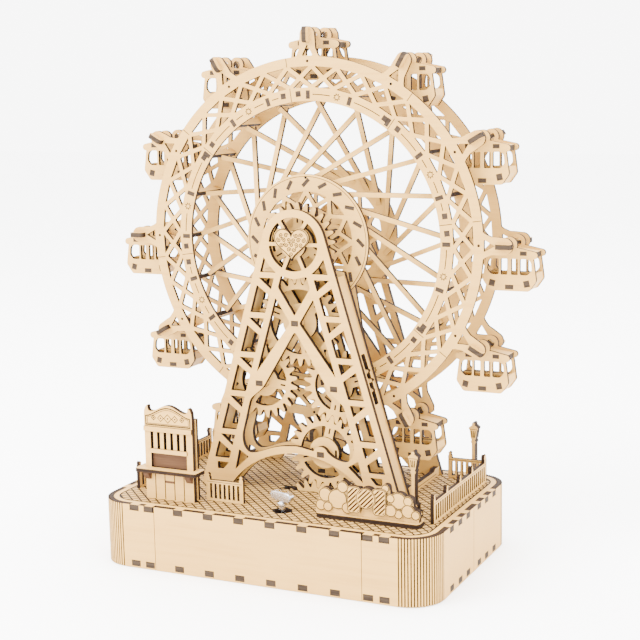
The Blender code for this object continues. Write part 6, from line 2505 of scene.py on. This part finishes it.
@dataclass
class Fences(Assembly):
    """The picket fences on the deck's sides, their returns and the one by the booth."""

    thickness: float = 2.0
    post: float = 2.2
    picket: float = 1.3
    base_rail: float = 1.4
    top_low: float = 9.6
    top_high: float = 11.4
    post_top: float = 12.6
    point: tuple[Point, Point] = ((0.6, 13.4), (0.9, 14.3))
    pin_top: float = 15.2
    line_drop: float = 0.9
    line_gap: float = 0.6
    side: float = 86.9
    side_start: float = -34.5
    side_length: float = 81.0
    side_pins: tuple[float, ...] = (19.5, 39.5, 58.5)
    turn_length: float = 22.0
    turn_place: float = 49.5
    small_start: float = -40.3
    small_length: float = 22.3
    small_place: float = -39.0

    def shape(self, length: float, gaps: int, pins: list[float],
              ball: float | None) -> tuple[Loop, list[Loop]]:
        """Draw one fence: its edge with pointed pins and the gaps between its pickets.

        Args:
            length: the fence's length.
            gaps: how many gaps it has.
            pins: the places of its pointed posts.
            ball: the place of its post with a ball, or None.

        Returns:
            The outline and the list of gaps.
        """
        top: Loop = []
        spots = [(place, False) for place in pins] + ([(ball, True)] if ball is not None else [])
        for place, round_top in sorted(spots, reverse=True):
            half = self.post / 2
            if round_top:
                head = arc(1.7, -50, 230, 12, (place, self.pin_top - 1.0))
                top += [(place + half, self.top_high), *head, (place - half, self.top_high)]
            else:
                right = [(half, self.top_high), (half, self.post_top), *self.point]
                top += moved(right + [(0, self.pin_top)] + mirrored(right), place, 0)
        outline: Loop = [(0, 0), (length, 0)]
        if not top or top[0][0] < length - 0.01:
            outline.append((length, self.top_high))
        outline += top
        if top[-1][0] > 0.01:
            outline.append((0, self.top_high))
        start, end = self.post, length - self.post
        pitch = (end - start + self.picket) / gaps
        holes = [block(start + index * pitch, self.base_rail, start + (index + 1) * pitch - self.picket,
                       self.top_low) for index in range(gaps)]
        return outline, holes

    def fence(self, name: str, node: str, start: float, length: float, depth: float, gaps: int, plane: Plane,
              pins: list[float], ball: float | None) -> None:
        """Make one fence.

        Args:
            name: the piece's name.
            node: the plain solid that it stands for.
            start: the fence's start along the drawing.
            length: the fence's length.
            depth: the depth of the sheet's middle.
            gaps: how many gaps there are.
            plane: the plane that it is drawn in.
            pins: the places of the pointed posts.
            ball: the place of the post with a ball, or None.
        """
        outline, holes = self.shape(length, gaps, pins, ball)
        deck, half = LAYOUT.deck_top, self.thickness / 2
        work = Work(plane)
        holes = [moved(hole, start, deck) for hole in holes]
        work.plate(moved(outline, start, deck), holes, depth - half, depth + half)
        for way in (-1, 1):
            high, gap = deck + self.top_high - self.line_drop, self.line_gap
            work.line([(start + gap, high), (start + length - gap, high)], FINE_LINE, depth + way * half, way)
        self.show(work, name, "tower", Slot.PLY, node)

    def build(self) -> None:
        """Make all five fences."""
        half, small = self.post / 2, self.small_length
        pins, ball = [half, *self.side_pins], self.side_length - half
        for place, sign in (("right", 1), ("left", -1)):
            self.fence(f"picket_fence_{place}", f"fence_{place}", self.side_start, self.side_length,
                       sign * self.side, 24, SIDEWAYS, pins, ball)
            start = self.side - self.turn_length if sign > 0 else -self.side
            self.fence(f"picket_return_{place}", f"fence_{place}_rear", start, self.turn_length,
                       self.turn_place, 6, STANDING, [half, self.turn_length - half], None)
        self.fence("picket_fence_small", "fence_small", self.small_start, small, self.small_place, 7,
                   STANDING, [half, small - half], None)


@dataclass
class Lamps(Assembly):
    """The two street lamps of stacked plywood."""

    places: tuple[Point, Point] = ((69.4, -13.7), (78.0, 56.2))
    foot: tuple[Point, ...] = ((2.2, 0), (2.2, 2.4), (1.6, 3.2), (1.0, 4.0), (0.9, 5.0))
    collar: tuple[Point, ...] = ((0.9, 19.4), (1.4, 20.0), (1.4, 20.8), (0.95, 21.4))
    lantern: tuple[Point, ...] = ((1.45, 22.3), (2.2, 27.2))
    cap: tuple[Point, ...] = (
        (2.65, 27.6), (2.65, 28.5), (1.6, 29.3), (0.75, 29.9), (0.9, 30.5), (0.45, 31.4))
    lines: tuple[Point, Point] = ((2.2, 27.5), (0.8, 4.6))
    depth: float = 5.0
    slit: tuple[float, float, float, float] = (0.95, 22.9, 26.7, 0.5)

    def half_outline(self) -> Loop:
        """Return the right half of a lamp's edge."""
        return [*self.foot, *self.collar, *self.lantern, *self.cap]

    def lamp(self, name: str, node: str, place: Point) -> None:
        """Make one thick lamp with slits in its lantern.

        Args:
            name: the piece's name.
            node: the plain solid that it stands for.
            place: the lamp's place on the deck.
        """
        x, y = place
        deck = LAYOUT.deck_top
        half = moved(self.half_outline(), 0, deck)
        outline = moved(half + mirrored(half), x, 0)
        work = Work()
        near, far = y - self.depth / 2, y + self.depth / 2
        work.plate(outline, [], near, far)
        for at, way in ((near, -1), (far, 1)):
            space, low, high, width = self.slit
            for across in (-space, 0.0, space):
                work.line([(x + across * 0.8, deck + low), (x + across * 1.2, deck + high)], width, at, way)
            for reach, height in self.lines:
                work.line([(x - reach, deck + height), (x + reach, deck + height)], FINE_LINE, at, way)
        self.show(work, name, "tower", Slot.PLY, node)

    def build(self) -> None:
        """Make both lamps."""
        self.lamp("street_lamp_front", "lamp_front", self.places[0])
        self.lamp("street_lamp_rear", "lamp_rear", self.places[1])


@dataclass
class BushBoard(Assembly):
    """The board of round bushes on its plank."""

    place: float = -41.0
    left: float = 25.0
    width: float = 59.0
    plank_depth: float = 10.0
    plank_end: float = 2.0
    stripe: float = 1.1
    stripe_pitch: float = 2.4
    smallest: float = 0.3
    outline_width: float = 0.42
    outline_inset: float = 0.35
    outline_steps: int = 240
    foot_low: float = 2.0
    foot_inset: float = 1.0
    form_line: Point = (0.92, 0.95)
    form_field: Point = (0.8, 0.87)
    bushes: tuple[tuple[float, float, float], ...] = (
        (31.6, 11.7, 3.8), (38.5, 10.0, 5.4), (29.0, 6.0, 3.0), (41.5, 16.7, 3.1), (33.1, 5.6, 2.7),
        (44.0, 6.0, 3.1), (65.2, 18.5, 2.2), (72.2, 12.8, 4.4), (68.0, 13.7, 2.4), (77.5, 13.2, 2.6),
        (77.5, 8.0, 3.6), (72.4, 6.0, 2.5), (68.2, 7.5, 3.3), (81.7, 6.5, 2.5))
    panels: tuple[Point, ...] = ((44.4, 51.8), (58.5, 66.0))
    panel_low: float = 4.0
    panel_top: float = 18.2
    middle: tuple[float, float, float] = (54.9, 12.5, 5.5)
    rises: tuple[float, float, float] = (1.9, 1.9, 2.3)
    first_rise: float = 0.35
    next_rise: float = 0.1
    plank_thick: float = 2.4

    def outline(self) -> Loop:
        """Return the board's edge: bushes and panels over a straight foot.

        Returns:
            The points in order.
        """
        low, steps = self.foot_low, self.outline_steps
        start, end = self.left + self.foot_inset, self.left + self.width - self.foot_inset
        loop: Loop = [(start, low), (end, low)]
        for step in range(steps + 1):
            x = end - (end - start) * step / steps
            tops = [z + math.sqrt(radius ** 2 - (x - middle) ** 2)
                    for middle, z, radius in [*self.bushes, self.middle] if abs(x - middle) < radius]
            tops += [self.panel_top - 0.8 for left, right in self.panels if left + 0.4 < x < right - 0.4]
            loop.append((x, max([*tops, self.panel_low])))
        return moved(loop, 0, LAYOUT.deck_top)

    def shrunk(self, loop: Loop, wide: float, high: float) -> Loop:
        """Return a loop made smaller about its middle by a share across and a share up.

        Args:
            loop: the points in order.
            wide: the share across.
            high: the share up.

        Returns:
            The points in order.
        """
        x = (min(a for a, _ in loop) + max(a for a, _ in loop)) / 2
        y = (min(b for _, b in loop) + max(b for _, b in loop)) / 2
        return [(x + (a - x) * wide, y + (b - y) * high) for a, b in loop]

    def stripes(self, work: Work, edge: Loop, at: float) -> None:
        """Engrave thick slanting stripes inside a convex edge.

        Args:
            work: the piece's gathered faces.
            edge: the edge to stay inside.
            at: the depth of the surface.
        """
        left, right = min(x for x, _ in edge), max(x for x, _ in edge)
        low = min(y for _, y in edge)
        reach = max(y for _, y in edge) - low
        start = left - reach
        while start < right:
            strip = [(start, low), (start + self.stripe, low), (start + self.stripe + reach, low + reach),
                     (start + reach, low + reach)]
            strip = trimmed(strip, edge)
            if abs(area(strip)) > self.smallest:
                work.pad(strip, at, -1, Finish.LINE, 0.05, SUNK)
            start += self.stripe_pitch

    def build(self) -> None:
        """Make the board, its stacked bushes, the striped forms and the plank."""
        base, deck = LAYOUT, LAYOUT.deck_top
        near, far = self.place - base.ply / 2, self.place + base.ply / 2
        work = Work()
        work.plate(self.outline(), [], near, far)
        for order, (middle, z, radius) in enumerate(self.bushes):
            rise = self.first_rise + self.next_rise * order
            work.plate(ring(radius, 32, (middle, z + deck)), [], near - rise, near + SUNK)
            edge = ring(radius - self.outline_inset, 32, (middle, z + deck))
            work.line(edge, self.outline_width, near - rise, -1, True)
            work.line(edge, self.outline_width, far, 1, True, Finish.LINE, 0.03 + 0.02 * order)
        forms = [rounded(block(left, deck + self.panel_low, right, deck + self.panel_top), 2.2, 5)
                 for left, right in self.panels]
        x, z, radius = self.middle
        forms.append(ring(radius, 40, (x, z + deck)))
        for order, form in enumerate(forms):
            rise = self.rises[order]
            work.plate(form, [], near - rise, near + SUNK)
            work.line(self.shrunk(form, *self.form_line), 0.4, near - rise, -1, True)
            self.stripes(work, self.shrunk(form, *self.form_field), near - rise)
        work.plane = LYING
        left = self.left + 2.0
        half = self.plank_depth / 2
        right = left + self.width - self.plank_end
        plank = block(left, self.place - half, right, self.place + half)
        work.plate(rounded(plank, 2.6, 5), [], deck, deck + self.plank_thick)
        self.show(work, "bushes_on_plank", "tower", Slot.PLY, "bush_board")


# Studio

@dataclass
class Studio:
    """The pale floor, the soft lights and the camera at the photograph's angle."""

    azimuth: float = 25.4549
    elevation: float = 9.5969
    roll: float = -1.0990
    lens: float = 79.27
    sensor: float = 36.0
    eye: Place = (0.33087, -0.67388, 0.25565)
    world: float = 8.0
    floor_reach: float = 4.0
    floor_low: float = -0.0002
    floor_tone: Colour = (0.96, 0.96, 0.96)
    target: Place = (0.0, 0.0, 0.13)
    lights: tuple[tuple[str, Place, float, float], ...] = (
        ("key", (-0.75, -0.85, 0.95), 0.9, 60.0),
        ("fill", (0.95, -0.55, 0.55), 0.9, 14.0),
        ("top", (0.0, 0.2, 1.25), 1.1, 26.0),
    )

    def camera(self) -> None:
        """Set the camera where the photograph was taken from."""
        az, el, roll = (math.radians(turn) for turn in (self.azimuth, self.elevation, self.roll))
        back = Vector((math.sin(az) * math.cos(el), -math.cos(az) * math.cos(el), math.sin(el)))
        right = Vector((math.cos(az), math.sin(az), 0))
        up = back.cross(right)
        side = right * math.cos(roll) + up * math.sin(roll)
        over = up * math.cos(roll) - right * math.sin(roll)
        data = bpy.data.cameras.new("photo_camera")
        data.lens, data.sensor_width = self.lens, self.sensor
        item = placed("photo_camera", data)
        rows = [(side[axis], over[axis], back[axis], self.eye[axis]) for axis in range(3)]
        item.matrix_world = Matrix((*rows, (0, 0, 0, 1)))
        bpy.context.scene.camera = item

    def floor(self) -> None:
        """Lay the plain pale floor just under the base."""
        mesh = bpy.data.meshes.new("studio_floor")
        reach, low = self.floor_reach, self.floor_low
        square = block(-reach, -reach, reach, reach)
        mesh.from_pydata([(x, y, low) for x, y in square], [], [(0, 1, 2, 3)])
        material = bpy.data.materials.new("studio_floor")
        material.use_nodes = True
        shader = material.node_tree.nodes["Principled BSDF"]
        shader.inputs["Base Color"].default_value = (*self.floor_tone, 1.0)
        shader.inputs["Roughness"].default_value = 0.9
        mesh.materials.append(material)
        item = placed("studio_floor", mesh)
        item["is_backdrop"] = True

    def lamps(self) -> None:
        """Hang the soft lights."""
        for name, place, size, power in self.lights:
            data = bpy.data.lights.new(name, "AREA")
            data.shape, data.size, data.energy = "DISK", size, power
            item = placed(name, data)
            item.location = place
            aim = Vector(self.target) - Vector(place)
            item.rotation_euler = aim.to_track_quat("-Z", "Y").to_euler()
        world = bpy.data.worlds.new("studio_world")
        world.use_nodes = True
        node = world.node_tree.nodes["Background"]
        node.inputs["Color"].default_value = (1.0, 1.0, 1.0, 1.0)
        node.inputs["Strength"].default_value = self.world
        bpy.context.scene.world = world

    def build(self) -> None:
        """Set up the studio."""
        self.camera()
        self.floor()
        self.lamps()


def corners() -> list[list[float]]:
    """Return the lowest and the highest corner of what is shown."""
    return [list(corner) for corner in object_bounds()]


def main() -> None:
    """Build every sub-assembly in order."""
    logging.basicConfig(level=logging.INFO, format="%(name)s: %(message)s")
    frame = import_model()
    finishes = FinishShelf()
    Studio().build()
    for kind in (BaseBox, Deck, Tower, Heart, GearTrain, Wheel, Gondola):
        kind(finishes).build()
    Movement(finishes).build(frame)
    for kind in (TicketBooth, Fences, Lamps, BushBoard):
        kind(finishes).build()


if __name__ == "__main__":
    main()
